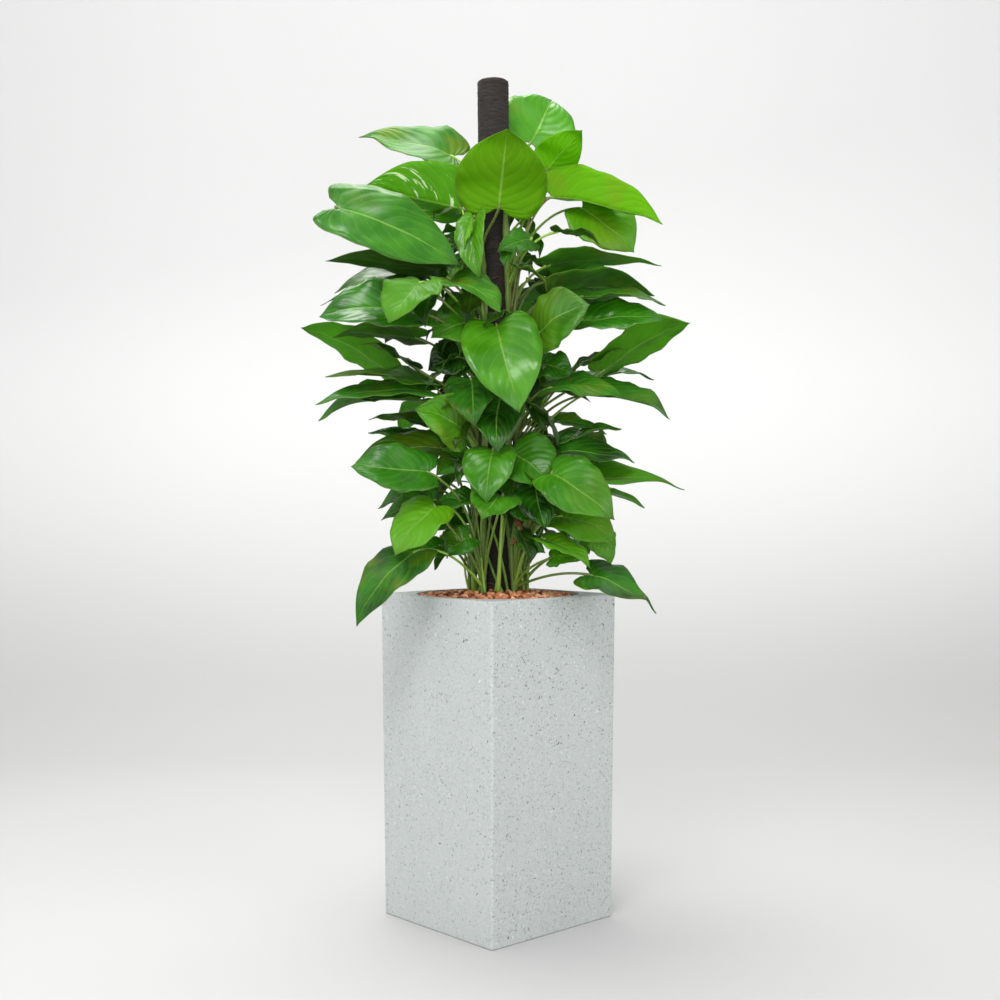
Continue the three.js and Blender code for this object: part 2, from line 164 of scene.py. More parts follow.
def blend(tree, share, first, second):
    return addNode(tree, "Mix", {0: share, 6: first, 7: second}, data_type="RGBA").outputs[2]


def noisy(tree, place, scale, detail, **more):
    inputs = {"Vector": place, "Scale": scale, "Detail": detail, **more}
    return addNode(tree, "TexNoise", inputs).outputs["Fac"]


# The last nodes of a plain skin: a bump of strength and depth in metres, and the shader.
def finishSkin(tree, base, rough, height, strength, depth, specular=0.5):
    bump = addNode(tree, "Bump", {"Height": height, "Strength": strength, "Distance": depth})
    skin = addNode(tree, "BsdfPrincipled", {
        "Base Color": base, "Roughness": rough, "Normal": bump.outputs[0], "Specular IOR Level": specular})
    addNode(tree, "OutputMaterial", {0: skin.outputs[0]})


def colour(red, green, blue):
    def linear(value):
        value /= 255
        return value / 12.92 if value <= 0.04045 else ((value + 0.055) / 1.055) ** 2.4
    return (linear(red), linear(green), linear(blue), 1)


def newGroup(name, inputs, outputs):
    group = bpy.data.node_groups.new(name, "ShaderNodeTree")
    for way, sockets in (("INPUT", inputs), ("OUTPUT", outputs)):
        for label, kind in sockets.items():
            group.interface.new_socket(label, in_out=way, socket_type="NodeSocket" + kind)
    return group, group.nodes.new("NodeGroupInput").outputs, group.nodes.new("NodeGroupOutput").inputs


# Where the side veins run, in a blade's shape and in its skin.
veinShape = {"pairs": 10.5, "slant": 0.16, "bend": 0.17, "bendPower": 1.5}

# The marks on a blade, from its own UV map: u across, v from the notch to the tip.
leafMarks = {
    "wander": 0.45, "wanderScale": 5.0, "veinWidth": (0.02, 0.17), "quiltWidth": (0, 0.9),
    "ribWidth": (-0.03, 0.05), "ribEdge": (0.45, 1.1), "margin": (0.955, 0.995), "tip": (0.95, 0.99),
    "streakAlong": 22.0, "streakAcross": 2.6, "streakSeed": 40.0,
}


def makeLeafVeins():
    group, take, give = newGroup("leafVeins", {"UV": "Vector", "Seed": "Float"}, {
        "Midrib": "Float", "Veins": "Float", "Quilt": "Float", "Streak": "Vector", "Margin": "Float",
        "Tip": "Float"})
    u, v, _ = addNode(group, "SeparateXYZ", {0: take["UV"]}).outputs
    across = calc(group, "ABSOLUTE", calc(group, "MULTIPLY_ADD", u, 2.0, -1.0))
    bend = calc(group, "MULTIPLY", calc(group, "POWER", across, veinShape["bendPower"]), veinShape["bend"])
    veinPlace = calc(group, "SUBTRACT", v, calc(group, "MULTIPLY_ADD", across, veinShape["slant"], bend))
    wander = addNode(group, "TexNoise", {
        "Vector": take["UV"], "Scale": leafMarks["wanderScale"], "Detail": 1.0},
        noise_dimensions="2D").outputs["Fac"]
    phase = calc(group, "MULTIPLY", wander, leafMarks["wander"])
    phase = calc(group, "MULTIPLY_ADD", veinPlace, veinShape["pairs"], phase)
    away = calc(group, "MULTIPLY", calc(group, "PINGPONG", phase, 0.5), 2.0)
    rib = calc(group, "DIVIDE", across, calc(group, "MULTIPLY_ADD", v, *leafMarks["ribWidth"]))
    streak = addNode(group, "CombineXYZ", {
        0: calc(group, "MULTIPLY", veinPlace, leafMarks["streakAlong"]),
        1: calc(group, "MULTIPLY", u, leafMarks["streakAcross"]),
        2: calc(group, "MULTIPLY", take["Seed"], leafMarks["streakSeed"])}).outputs[0]
    feed(group, give["Veins"], ramp(group, away, 1, 0, *leafMarks["veinWidth"]))
    feed(group, give["Quilt"], ramp(group, away, 0, 1, *leafMarks["quiltWidth"]))
    feed(group, give["Midrib"], ramp(group, rib, 1, 0, *leafMarks["ribEdge"]))
    feed(group, give["Margin"], ramp(group, across, 0, 1, *leafMarks["margin"]))
    feed(group, give["Tip"], ramp(group, v, 0, 1, *leafMarks["tip"]))
    feed(group, give["Streak"], streak)
    return group


leafColours = {
    "deep": colour(11, 48, 4), "mid": colour(46, 118, 12), "bright": colour(84, 160, 24),
    # The warm colour is partly the leaves' own yellow-green and partly painted glow of light shining through
    # backlit leaves.
    "warmAndBacklit": colour(104, 172, 0), "cream": colour(226, 238, 200), "rib": colour(150, 200, 84),
    "underPale": colour(90, 140, 42), "glow": colour(140, 214, 6), "brown": colour(120, 92, 40),
    # edge paints a highlight along the blade rims.
    "edge": colour(128, 140, 66), "driedTip": colour(88, 62, 34), "olive": colour(124, 138, 26),
    "sheen": colour(214, 232, 190),
}

# How strongly each mark shows, how rough the two faces are, and how much light comes through.
leafSkin = {
    "veins": 0.13, "midrib": 0.55, "margin": 0.4, "tip": 0.8, "cream": 0.9, "marbled": 0.35, "olive": 0.55,
    "worn": 0.8, "glow": 0.6, "glowDeep": 0.6, "through": 0.38, "bump": 0.75, "bumpDepth": 0.0013,
    "upper": {"rough": (0.2, 0.32), "specular": 0.3, "rib": -1.1},
    "under": {"rough": (0.42, 0.56), "specular": 0.1, "rib": 1.1},
    "quilt": 0.6, "fineRelief": 0.10, "cloudRelief": 1.6, "ownRough": 0.22, "coat": (-0.45, 0.5),
    "coatRough": 0.24, "sheen": 0.06, "sheenRough": 0.45,
}


# One blade face. The look attribute holds: tone, warmth (partly painted backlight glow), cream and the leaf's
# own number.
def makeLeafFace(name, under):
    material, tree, place = newMaterial(name)
    face = leafSkin["under" if under else "upper"]
    look = addNode(tree, "Attribute", attribute_name="leafLook")
    tone, warmthAndBacklight, cream = addNode(tree, "SeparateColor", {0: look.outputs["Color"]}).outputs
    own = look.outputs["Alpha"]
    veins = addNode(tree, "Group", {
        "UV": addNode(tree, "UVMap", uv_map="leafMap").outputs[0], "Seed": own}, node_tree=leafVeins).outputs
    clouds = noisy(tree, place, 19.0, 4.0)
    fine = noisy(tree, place, 420.0, 3.0)
    marbling = noisy(tree, veins["Streak"], 1.0, 5.0, Roughness=0.62)
    toned = calc(tree, "ADD", tone, calc(tree, "MULTIPLY_ADD", clouds, 1.0, -0.5), clamp=True)
    green = blend(tree, ramp(tree, toned, 0, 1, 0.0, 0.5), leafColours["deep"], leafColours["mid"])

    def tint(share, shade):
        return blend(tree, share, green, leafColours[shade])

    green = tint(ramp(tree, toned, 0, 1, 0.45, 1.0), "bright")
    # Warmth tints towards the warm colour: partly the leaf's own colour, partly painted backlight glow.
    green = tint(warmthAndBacklight, "warmAndBacklit")
    patches = ramp(tree, noisy(tree, place, 11.0, 3.0), 0, leafSkin["olive"], 0.5, 0.68)
    green = tint(calc(tree, "MULTIPLY", patches, own), "olive")
    green = tint(ramp(tree, marbling, 0, leafSkin["marbled"], 0.52, 0.72), "bright")
    green = tint(calc(tree, "MULTIPLY", veins["Veins"], leafSkin["veins"]), "rib")
    edge = calc(tree, "MULTIPLY_ADD", cream, -0.34, 0.74)
    creamMask = ramp(tree, calc(tree, "SUBTRACT", marbling, edge), 0, 1, 0.0, 0.03)
    creamShare = ramp(tree, cream, 0, leafSkin["cream"], 0.02, 0.3)
    green = tint(calc(tree, "MULTIPLY", creamMask, creamShare), "cream")
    green = tint(calc(tree, "MULTIPLY", veins["Midrib"], leafSkin["midrib"]), "rib")
    # A pale band along the rim: painted highlight where light catches the blade edges.
    green = tint(calc(tree, "MULTIPLY", veins["Margin"], leafSkin["margin"]), "edge")
    scars = ramp(tree, noisy(tree, place, 95.0, 4.0), 0, leafSkin["worn"], 0.66, 0.72)
    green = tint(calc(tree, "MULTIPLY", scars, ramp(tree, own, 0, 1, 0.5, 0.9)), "brown")
    green = tint(calc(tree, "MULTIPLY", veins["Tip"], leafSkin["tip"]), "driedTip")
    if under:
        # Undersides turn pale, less so where the painted backlight glow is strong.
        green = tint(calc(tree, "MULTIPLY_ADD", warmthAndBacklight, -0.5, 0.3, clamp=True), "underPale")
    relief = calc(tree, "MULTIPLY", fine, leafSkin["fineRelief"])
    relief = calc(tree, "MULTIPLY_ADD", veins["Quilt"], leafSkin["quilt"], relief)
    relief = calc(tree, "ADD", relief, calc(tree, "MULTIPLY", clouds, leafSkin["cloudRelief"]))
    relief = calc(tree, "MULTIPLY_ADD", veins["Midrib"], face["rib"], relief)
    bump = addNode(tree, "Bump", {
        "Height": relief, "Strength": leafSkin["bump"], "Distance": leafSkin["bumpDepth"]}).outputs[0]
    rough = ramp(tree, clouds, *face["rough"], 0.3, 0.7)
    shine = addNode(tree, "BsdfPrincipled", {
        "Base Color": green, "Roughness": calc(tree, "MULTIPLY_ADD", own, leafSkin["ownRough"], rough),
        "Normal": bump, "Specular IOR Level": face["specular"], "Coat Roughness": leafSkin["coatRough"],
        "Sheen Weight": leafSkin["sheen"], "Sheen Roughness": leafSkin["sheenRough"],
        "Sheen Tint": leafColours["sheen"],
        "Coat Weight": 0.0 if under else calc(tree, "MULTIPLY_ADD", own, *leafSkin["coat"], clamp=True)})
    glow = tint(leafSkin["glow"], "glow")
    dim = ramp(tree, toned, leafSkin["glowDeep"], 0, 0.1, 0.6)
    through = addNode(tree, "BsdfTranslucent", {
        "Color": blend(tree, dim, glow, leafColours["deep"]), "Normal": bump})
    both = addNode(tree, "MixShader", {0: leafSkin["through"], 1: shine.outputs[0], 2: through.outputs[0]})
    addNode(tree, "OutputMaterial", {0: both.outputs[0]})
    return material


stalkColours = {"brown": colour(104, 78, 46), "pale": colour(158, 196, 78)}


# Petioles and young stems: fine stripes, browner and paler where the look attribute says so.
def makeStalkSkin(name, fresh, dull, stripes, roughness):
    material, tree, place = newMaterial(name)
    look = addNode(tree, "Attribute", attribute_name="leafLook")
    pale, brown, _ = addNode(tree, "SeparateColor", {0: look.outputs["Color"]}).outputs
    long = addNode(tree, "Mapping", {"Vector": place, "Scale": (stripes, stripes, stripes * 0.06)}).outputs[0]
    grain = noisy(tree, long, 1.0, 4.0)
    spots = noisy(tree, place, 130.0, 3.0)
    base = blend(tree, ramp(tree, grain, 0, 1, 0.35, 0.65), fresh, dull)
    aged = calc(tree, "MULTIPLY", brown, ramp(tree, spots, 0.55, 1, 0.35, 0.6))
    base = blend(tree, aged, base, stalkColours["brown"])
    base = blend(tree, calc(tree, "MULTIPLY", pale, 0.75), base, stalkColours["pale"])
    finishSkin(tree, base, ramp(tree, spots, roughness, roughness + 0.15, 0.3, 0.7), grain, 0.5, 0.0006)
    return material


# Bark and soil: one crumbly noise for the shade, the roughness and the bump.
def makeCrumbly(name, scale, detail, dark, light, rough, strength, depth):
    material, tree, place = newMaterial(name)
    crumbs = noisy(tree, place, scale, detail)
    base = blend(tree, ramp(tree, crumbs, 0, 1, 0.35, 0.65), dark, light)
    finishSkin(tree, base, ramp(tree, crumbs, *rough), crumbs, strength, depth)
    return material


poleLook = {
    "dark": colour(20, 15, 14), "fibre": colour(60, 54, 52), "patch": colour(45, 36, 32),
    "dust": colour(86, 78, 72), "stretch": (60, 60, 900),
}


# Dark fibre wrapped round the pole in narrow bands.
def makePoleFibre():
    material, tree, place = newMaterial("poleFibre")
    flat = addNode(tree, "Mapping", {"Vector": place, "Scale": poleLook["stretch"]}).outputs[0]
    fibre = noisy(tree, flat, 1.0, 5.0, Roughness=0.7, Distortion=0.6)
    patches = noisy(tree, place, 38.0, 3.0)
    dust = noisy(tree, place, 700.0, 2.0)
    base = blend(tree, ramp(tree, fibre, 0, 1, 0.32, 0.66), poleLook["dark"], poleLook["fibre"])
    base = blend(tree, ramp(tree, patches, 0, 0.45, 0.5, 0.75), base, poleLook["patch"])
    base = blend(tree, ramp(tree, dust, 0, 0.6, 0.66, 0.78), base, poleLook["dust"])
    height = calc(tree, "MULTIPLY_ADD", dust, 0.25, fibre)
    finishSkin(tree, base, ramp(tree, fibre, 0.75, 0.95), height, 0.9, 0.0015, 0.25)
    return material


# Grit comes in three sizes: cells in a metre, size in a cell, rarity and strength.
stoneLook = {
    "ground": colour(173, 178, 177), "cloud": colour(177, 182, 181), "powder": colour(182, 187, 186),
    "paleGrit": colour(206, 211, 209), "greyGrit": colour(124, 130, 128), "darkGrit": colour(66, 71, 71),
    "grit": ((150.0, 0.22, 0.72, 0.85), (230.0, 0.28, 0.6, 0.75), (420.0, 0.36, 0.5, 0.55)),
    "warp": 0.012, "crowding": -0.5, "rarity": 0.31, "faceMore": 0.15, "cornerMore": 0.12,
    "cornerWidth": (0.004, 0.03),
}


# Pale ground stone with grit and tiny pits. The grit is denser on the +X face and at the corners.
def makePotStone():
    material, tree, place = newMaterial("potStone")
    clouds = noisy(tree, place, 3.0, 3.0)
    powder = noisy(tree, place, 330.0, 3.0)
    crowd = noisy(tree, place, 16.0, 2.0)
    base = blend(tree, ramp(tree, clouds, 0, 1, 0.3, 0.7), stoneLook["ground"], stoneLook["cloud"])
    base = blend(tree, ramp(tree, powder, 0, 1, 0.35, 0.65), base, stoneLook["powder"])
    facing = addNode(tree, "SeparateXYZ", {0: addNode(tree, "NewGeometry").outputs["Normal"]}).outputs[0]
    x, y, _ = addNode(tree, "SeparateXYZ", {0: place}).outputs
    off = calc(tree, "SUBTRACT", calc(tree, "ABSOLUTE", x), calc(tree, "ABSOLUTE", y))
    corner = ramp(tree, calc(tree, "ABSOLUTE", off), stoneLook["cornerMore"], 0, *stoneLook["cornerWidth"])
    denser = calc(tree, "MULTIPLY_ADD", facing, stoneLook["faceMore"], corner)
    masks = []
    for scale, size, rare, strength in stoneLook["grit"]:
        stir = addNode(tree, "TexNoise", {"Vector": place, "Scale": scale}).outputs["Color"]
        cell = addNode(tree, "TexVoronoi", {
            "Vector": blend(tree, stoneLook["warp"], place, stir), "Scale": scale}).outputs
        first, second, third = addNode(tree, "SeparateColor", {0: cell["Color"]}).outputs
        grain = calc(tree, "MULTIPLY_ADD", second, size, size * 0.5)
        near = ramp(tree, calc(tree, "DIVIDE", cell["Distance"], grain), 1, 0, 0.7, 1.1)
        chance = calc(tree, "MULTIPLY_ADD", crowd, stoneLook["crowding"], rare + stoneLook["rarity"])
        chance = calc(tree, "SUBTRACT", chance, denser)
        mask = calc(tree, "MULTIPLY", near, calc(tree, "GREATER_THAN", first, chance))
        grit = blend(tree, ramp(tree, third, 0, 1, 0.25, 0.3), stoneLook["paleGrit"], stoneLook["greyGrit"])
        grit = blend(tree, ramp(tree, third, 0, 1, 0.72, 0.76), grit, stoneLook["darkGrit"])
        base = blend(tree, calc(tree, "MULTIPLY", mask, strength), base, grit)
        masks.append(mask)
    pits = calc(tree, "ADD", masks[0], calc(tree, "MULTIPLY", masks[1], 0.6))
    height = calc(tree, "MULTIPLY_ADD", powder, 0.4, calc(tree, "MULTIPLY", pits, -1.0))
    finishSkin(tree, base, ramp(tree, powder, 0.66, 0.8), height, 0.4, 0.0004, 0.3)
    return material


clayLook = {
    "dark": colour(92, 50, 32), "mid": colour(204, 130, 90), "pale": colour(238, 186, 148),
    "pore": colour(112, 66, 44),
}


# Fired clay, each pebble with its own tone. The dark end also carries the painted shade of the lower layer
# and of the bed between the pebbles.
def makeFiredClay():
    material, tree, place = newMaterial("firedClay")
    shade = addNode(tree, "Attribute", attribute_name="pebbleShade").outputs["Fac"]
    pores = noisy(tree, place, 520.0, 4.0)
    base = blend(tree, ramp(tree, shade, 0, 1, 0.0, 0.6), clayLook["dark"], clayLook["mid"])
    base = blend(tree, ramp(tree, shade, 0, 1, 0.6, 1.0), base, clayLook["pale"])
    base = blend(tree, ramp(tree, pores, 0, 0.5, 0.54, 0.72), base, clayLook["pore"])
    finishSkin(tree, base, ramp(tree, pores, 0.8, 0.95), pores, 0.7, 0.0008, 0.3)
    return material


paperColours = {
    "floor": (colour(180, 180, 180), colour(184, 184, 184)),
    "wall": (colour(233, 233, 233), colour(237, 237, 237)),
}


# The floor is darker than the wall, because more of the light reaches it.
def makeStudioPaper():
    material, tree, place = newMaterial("studioPaper")
    rise = addNode(tree, "Attribute", attribute_name="rise").outputs["Fac"]
    haze = noisy(tree, place, 0.8, 1.0)
    floor = blend(tree, haze, *paperColours["floor"])
    wall = blend(tree, haze, *paperColours["wall"])
    skin = addNode(tree, "BsdfPrincipled", {
        "Base Color": blend(tree, rise, floor, wall), "Roughness": ramp(tree, haze, 0.85, 0.95),
        "Specular IOR Level": 0.1})
    addNode(tree, "OutputMaterial", {0: skin.outputs[0]})
    return material


leafVeins = makeLeafVeins()
leafUpper = makeLeafFace("leafUpper", False)
leafLower = makeLeafFace("leafLower", True)
petioleSkin = makeStalkSkin("petioleSkin", colour(96, 148, 40), colour(58, 104, 26), 420.0, 0.34)
sheathSkin = makeStalkSkin("sheathSkin", colour(150, 62, 44), colour(96, 44, 30), 260.0, 0.5)
stemSkin = makeStalkSkin("stemSkin", colour(96, 138, 52), colour(66, 100, 36), 300.0, 0.45)
rootBark = makeCrumbly(
    "rootBark", 300.0, 4.0, colour(44, 30, 20), colour(96, 72, 46), (0.65, 0.85), 0.6, 0.0005)
darkSoil = makeCrumbly(
    "darkSoil", 160.0, 5.0, colour(34, 23, 16), colour(78, 56, 40), (0.88, 0.98), 0.9, 0.002)
poleFibre = makePoleFibre()
potStone = makePotStone()
firedClay = makeFiredClay()
print("materials made")

for node, material in (("pot", potStone), ("soil", darkSoil)):
    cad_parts[node].data.materials.clear()
    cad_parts[node].data.materials.append(material)

pebbles = {
    "opening": 286.5, "corner": 125.5, "spacing": 11.6, "jitter": 2.8, "radius": (4.9, 7.6),
    "sizes": (0.8, 1, 1, 1.1), "lift": (-1.6, 2.2), "stretch": ((0.85, 1.2), (0.8, 1.05), (0.75, 1)),
    "dent": 0.16, "dentScale": 1.1, "top": 598.5, "mound": 18.0, "moundReach": 120, "layers": 2,
    "layerDrop": 7.5, "lowerLayerPaintedShade": 0.3, "stemsAt": 595, "bedDrop": 15.0, "bedCells": 28,
    "bedMargin": 1.5, "seed": 41,
}
pebbleLayers = [("faces", "float", "pebbleShade")]


def insideOpening(x, y, margin):
    straight = pebbles["opening"] / 2 - pebbles["corner"]
    dx = max(0, abs(x) - straight)
    dy = max(0, abs(y) - straight)
    return math.hypot(dx, dy) < pebbles["corner"] - margin


def pebbleHeight(x, y):
    return pebbles["top"] + pebbles["mound"] * max(0, 1 - math.hypot(x, y) / pebbles["moundReach"])


def addPebble(bm, middle, radius, layer, draw):
    part, (shade,) = newPart(pebbleLayers)
    made = bmesh.ops.create_icosphere(part, subdivisions=2, radius=radius)["verts"]
    own = Vector([draw.uniform(0, 90) for _ in range(3)])
    stretch = Matrix.Diagonal([draw.uniform(*span) for span in pebbles["stretch"]])
    turn = Matrix.Rotation(draw.uniform(0, 6.3), 3, Vector((draw.uniform(-1, 1), draw.uniform(-1, 1), 0.5)))
    tone = draw.random()
    for v in made:
        dent = 1 + pebbles["dent"] * noise.noise(v.co * (pebbles["dentScale"] / radius) + own)
        v.co = turn @ (stretch @ (v.co * dent)) + middle
    for face in part.faces:
        face.smooth = True
        # Pebbles of the lower layer are darkened: painted shade under the top layer.
        face[shade] = tone * (1 if layer == 0 else pebbles["lowerLayerPaintedShade"])
    joinInto(bm, part)


# A dark bed under the pebbles, which paints the shade in the gaps between them.
def addBed(bm):
    part, (shade,) = newPart(pebbleLayers)
    cells, size = pebbles["bedCells"], pebbles["opening"] / 2
    bed = bmesh.ops.create_grid(part, x_segments=cells, y_segments=cells, size=size)["verts"]
    for v in bed:
        while not insideOpening(v.co.x, v.co.y, pebbles["bedMargin"]):
            v.co *= 0.985
        v.co.z = pebbleHeight(v.co.x, v.co.y) - pebbles["bedDrop"] + 2 * noise.noise(v.co * 0.2)
    for face in part.faces:
        # The lowest value gives the darkest clay colour: painted shade.
        face[shade] = 0
    joinInto(bm, part)


def makePebbles():
    draw = random.Random(pebbles["seed"])
    bm, _ = newPart(pebbleLayers)
    stems = [toPart @ stemPoint(vine, pebbles["stemsAt"]) * 1000 for vine in vines]
    spacing = pebbles["spacing"]
    reach = int(pebbles["opening"] / 2 / spacing) + 2
    places = [(layer, row, column) for layer in range(pebbles["layers"])
              for row in range(-reach - 3, reach + 4) for column in range(-reach, reach + 1)]
    for layer, row, column in places:
        x = (column + 0.5 * (row % 2) + 0.25 * layer) * spacing + draw.uniform(-1, 1) * pebbles["jitter"]
        y = (row + 0.33 * layer) * spacing * 0.866 + draw.uniform(-1, 1) * pebbles["jitter"]
        radius = draw.uniform(*pebbles["radius"]) * draw.choice(pebbles["sizes"])
        lift = draw.uniform(*pebbles["lift"])
        onPole = math.hypot(x, y) < poleShape["radius"] + radius
        onStem = any(math.hypot(x - s.x, y - s.y) < stemShape["radius"] + radius * 0.7 for s in stems)
        if insideOpening(x, y, radius * 1.05) and not onPole and not onStem:
            z = pebbleHeight(x, y) - radius - layer * pebbles["layerDrop"] + lift
            addPebble(bm, Vector((x, y, z)), radius, layer, draw)
    addBed(bm)
    piece = makePiece("pebbleLayer", bm, inMetres, [firedClay], ["clay_pebbles"])
    print("pebbles:", len(piece.data.polygons), "faces")


poleShape = {
    "radius": 29.5, "foot": 560, "top": 1557, "lean": 0.55, "leanHeight": 605, "sides": 72,
    "step": 2.6, "topRound": 5.0, "seed": 12,
    "band": 7.4, "bandDepth": 0.8, "bandEdge": 0.45, "bandSlant": 3.5, "slantPitch": 190,
    "fuzz": 0.7, "coarseFuzz": (0.16, 0.45), "fineFuzz": (0.5, 1.1), "fineShare": 0.6, "sink": 0.3,
    "fibres": 260, "fibreFoot": 620, "fibreLength": (8, 26), "fibreRise": 0.25, "fibreOut": (0.4, 2.0),
    "fibreSink": 0.9, "fibreRadius": 0.22, "fibreSteps": 4,
}


def poleAxis(height):
    above = height - poleShape["leanHeight"]
    return Vector((-above * math.tan(math.radians(poleShape["lean"])), 0, height))


def fuzzAt(place, scales):
    return noise.noise(Vector((place.x * scales[0], place.y * scales[0], place.z * scales[1])))


# The wrap lies in slanting bands with a fuzzy surface.
def poleLump(place):
    centre = poleAxis(place.z)
    angle = math.atan2(place.y - centre.y, place.x - centre.x)
    slant = poleShape["bandSlant"] * math.sin(angle + place.z / poleShape["slantPitch"])
    turns = (place.z + slant) / poleShape["band"] + angle / math.tau
    band = abs(math.sin(math.pi * turns)) ** poleShape["bandEdge"]
    fuzz = fuzzAt(place, poleShape["coarseFuzz"])
    fuzz += poleShape["fineShare"] * fuzzAt(place, poleShape["fineFuzz"])
    return poleShape["bandDepth"] * (band - 1) + poleShape["fuzz"] * fuzz - poleShape["sink"]


# A loose fibre that stands out of the wrap in a low arch.
def addFibre(bm, draw):
    angle = draw.uniform(0, math.tau)
    start = draw.uniform(poleShape["fibreFoot"], poleShape["top"] - 4)
    length = draw.uniform(*poleShape["fibreLength"])
    rise = draw.uniform(-poleShape["fibreRise"], poleShape["fibreRise"])
    out = draw.uniform(*poleShape["fibreOut"])
    points = []
    steps = poleShape["fibreSteps"]
    for step in range(steps + 1):
        share = step / steps
        turned = angle + share * length / poleShape["radius"]
        centre = poleAxis(start + rise * share * length)
        far = poleShape["radius"] - poleShape["fibreSink"] + out * math.sin(math.pi * share) ** 1.5
        points.append(centre + Vector((math.cos(turned), math.sin(turned), 0)) * far)
    addTube(bm, [], points, [poleShape["fibreRadius"]] * (steps + 1), 3)


def makePole():
    draw = random.Random(poleShape["seed"])
    bm = bmesh.new()
    height = poleShape["top"] - poleShape["foot"]
    steps = int(height / poleShape["step"])
    points = [poleAxis(poleShape["foot"] + height * i / steps) for i in range(steps + 1)]
    radii = []
    for point in points:
        below = poleShape["top"] - point.z
        soften = min(1, math.sqrt(max(0.02, 1 - (1 - min(1, below / poleShape["topRound"])) ** 2)))
        radii.append(poleShape["radius"] - poleShape["topRound"] * (1 - soften))
    addTube(bm, [], points, radii, poleShape["sides"], lump=poleLump)
    for _ in range(poleShape["fibres"]):
        addFibre(bm, draw)
    piece = makePiece("mossPoleWrap", bm, toPart, [poleFibre], ["moss_pole"])
    print("pole:", len(piece.data.polygons), "faces")


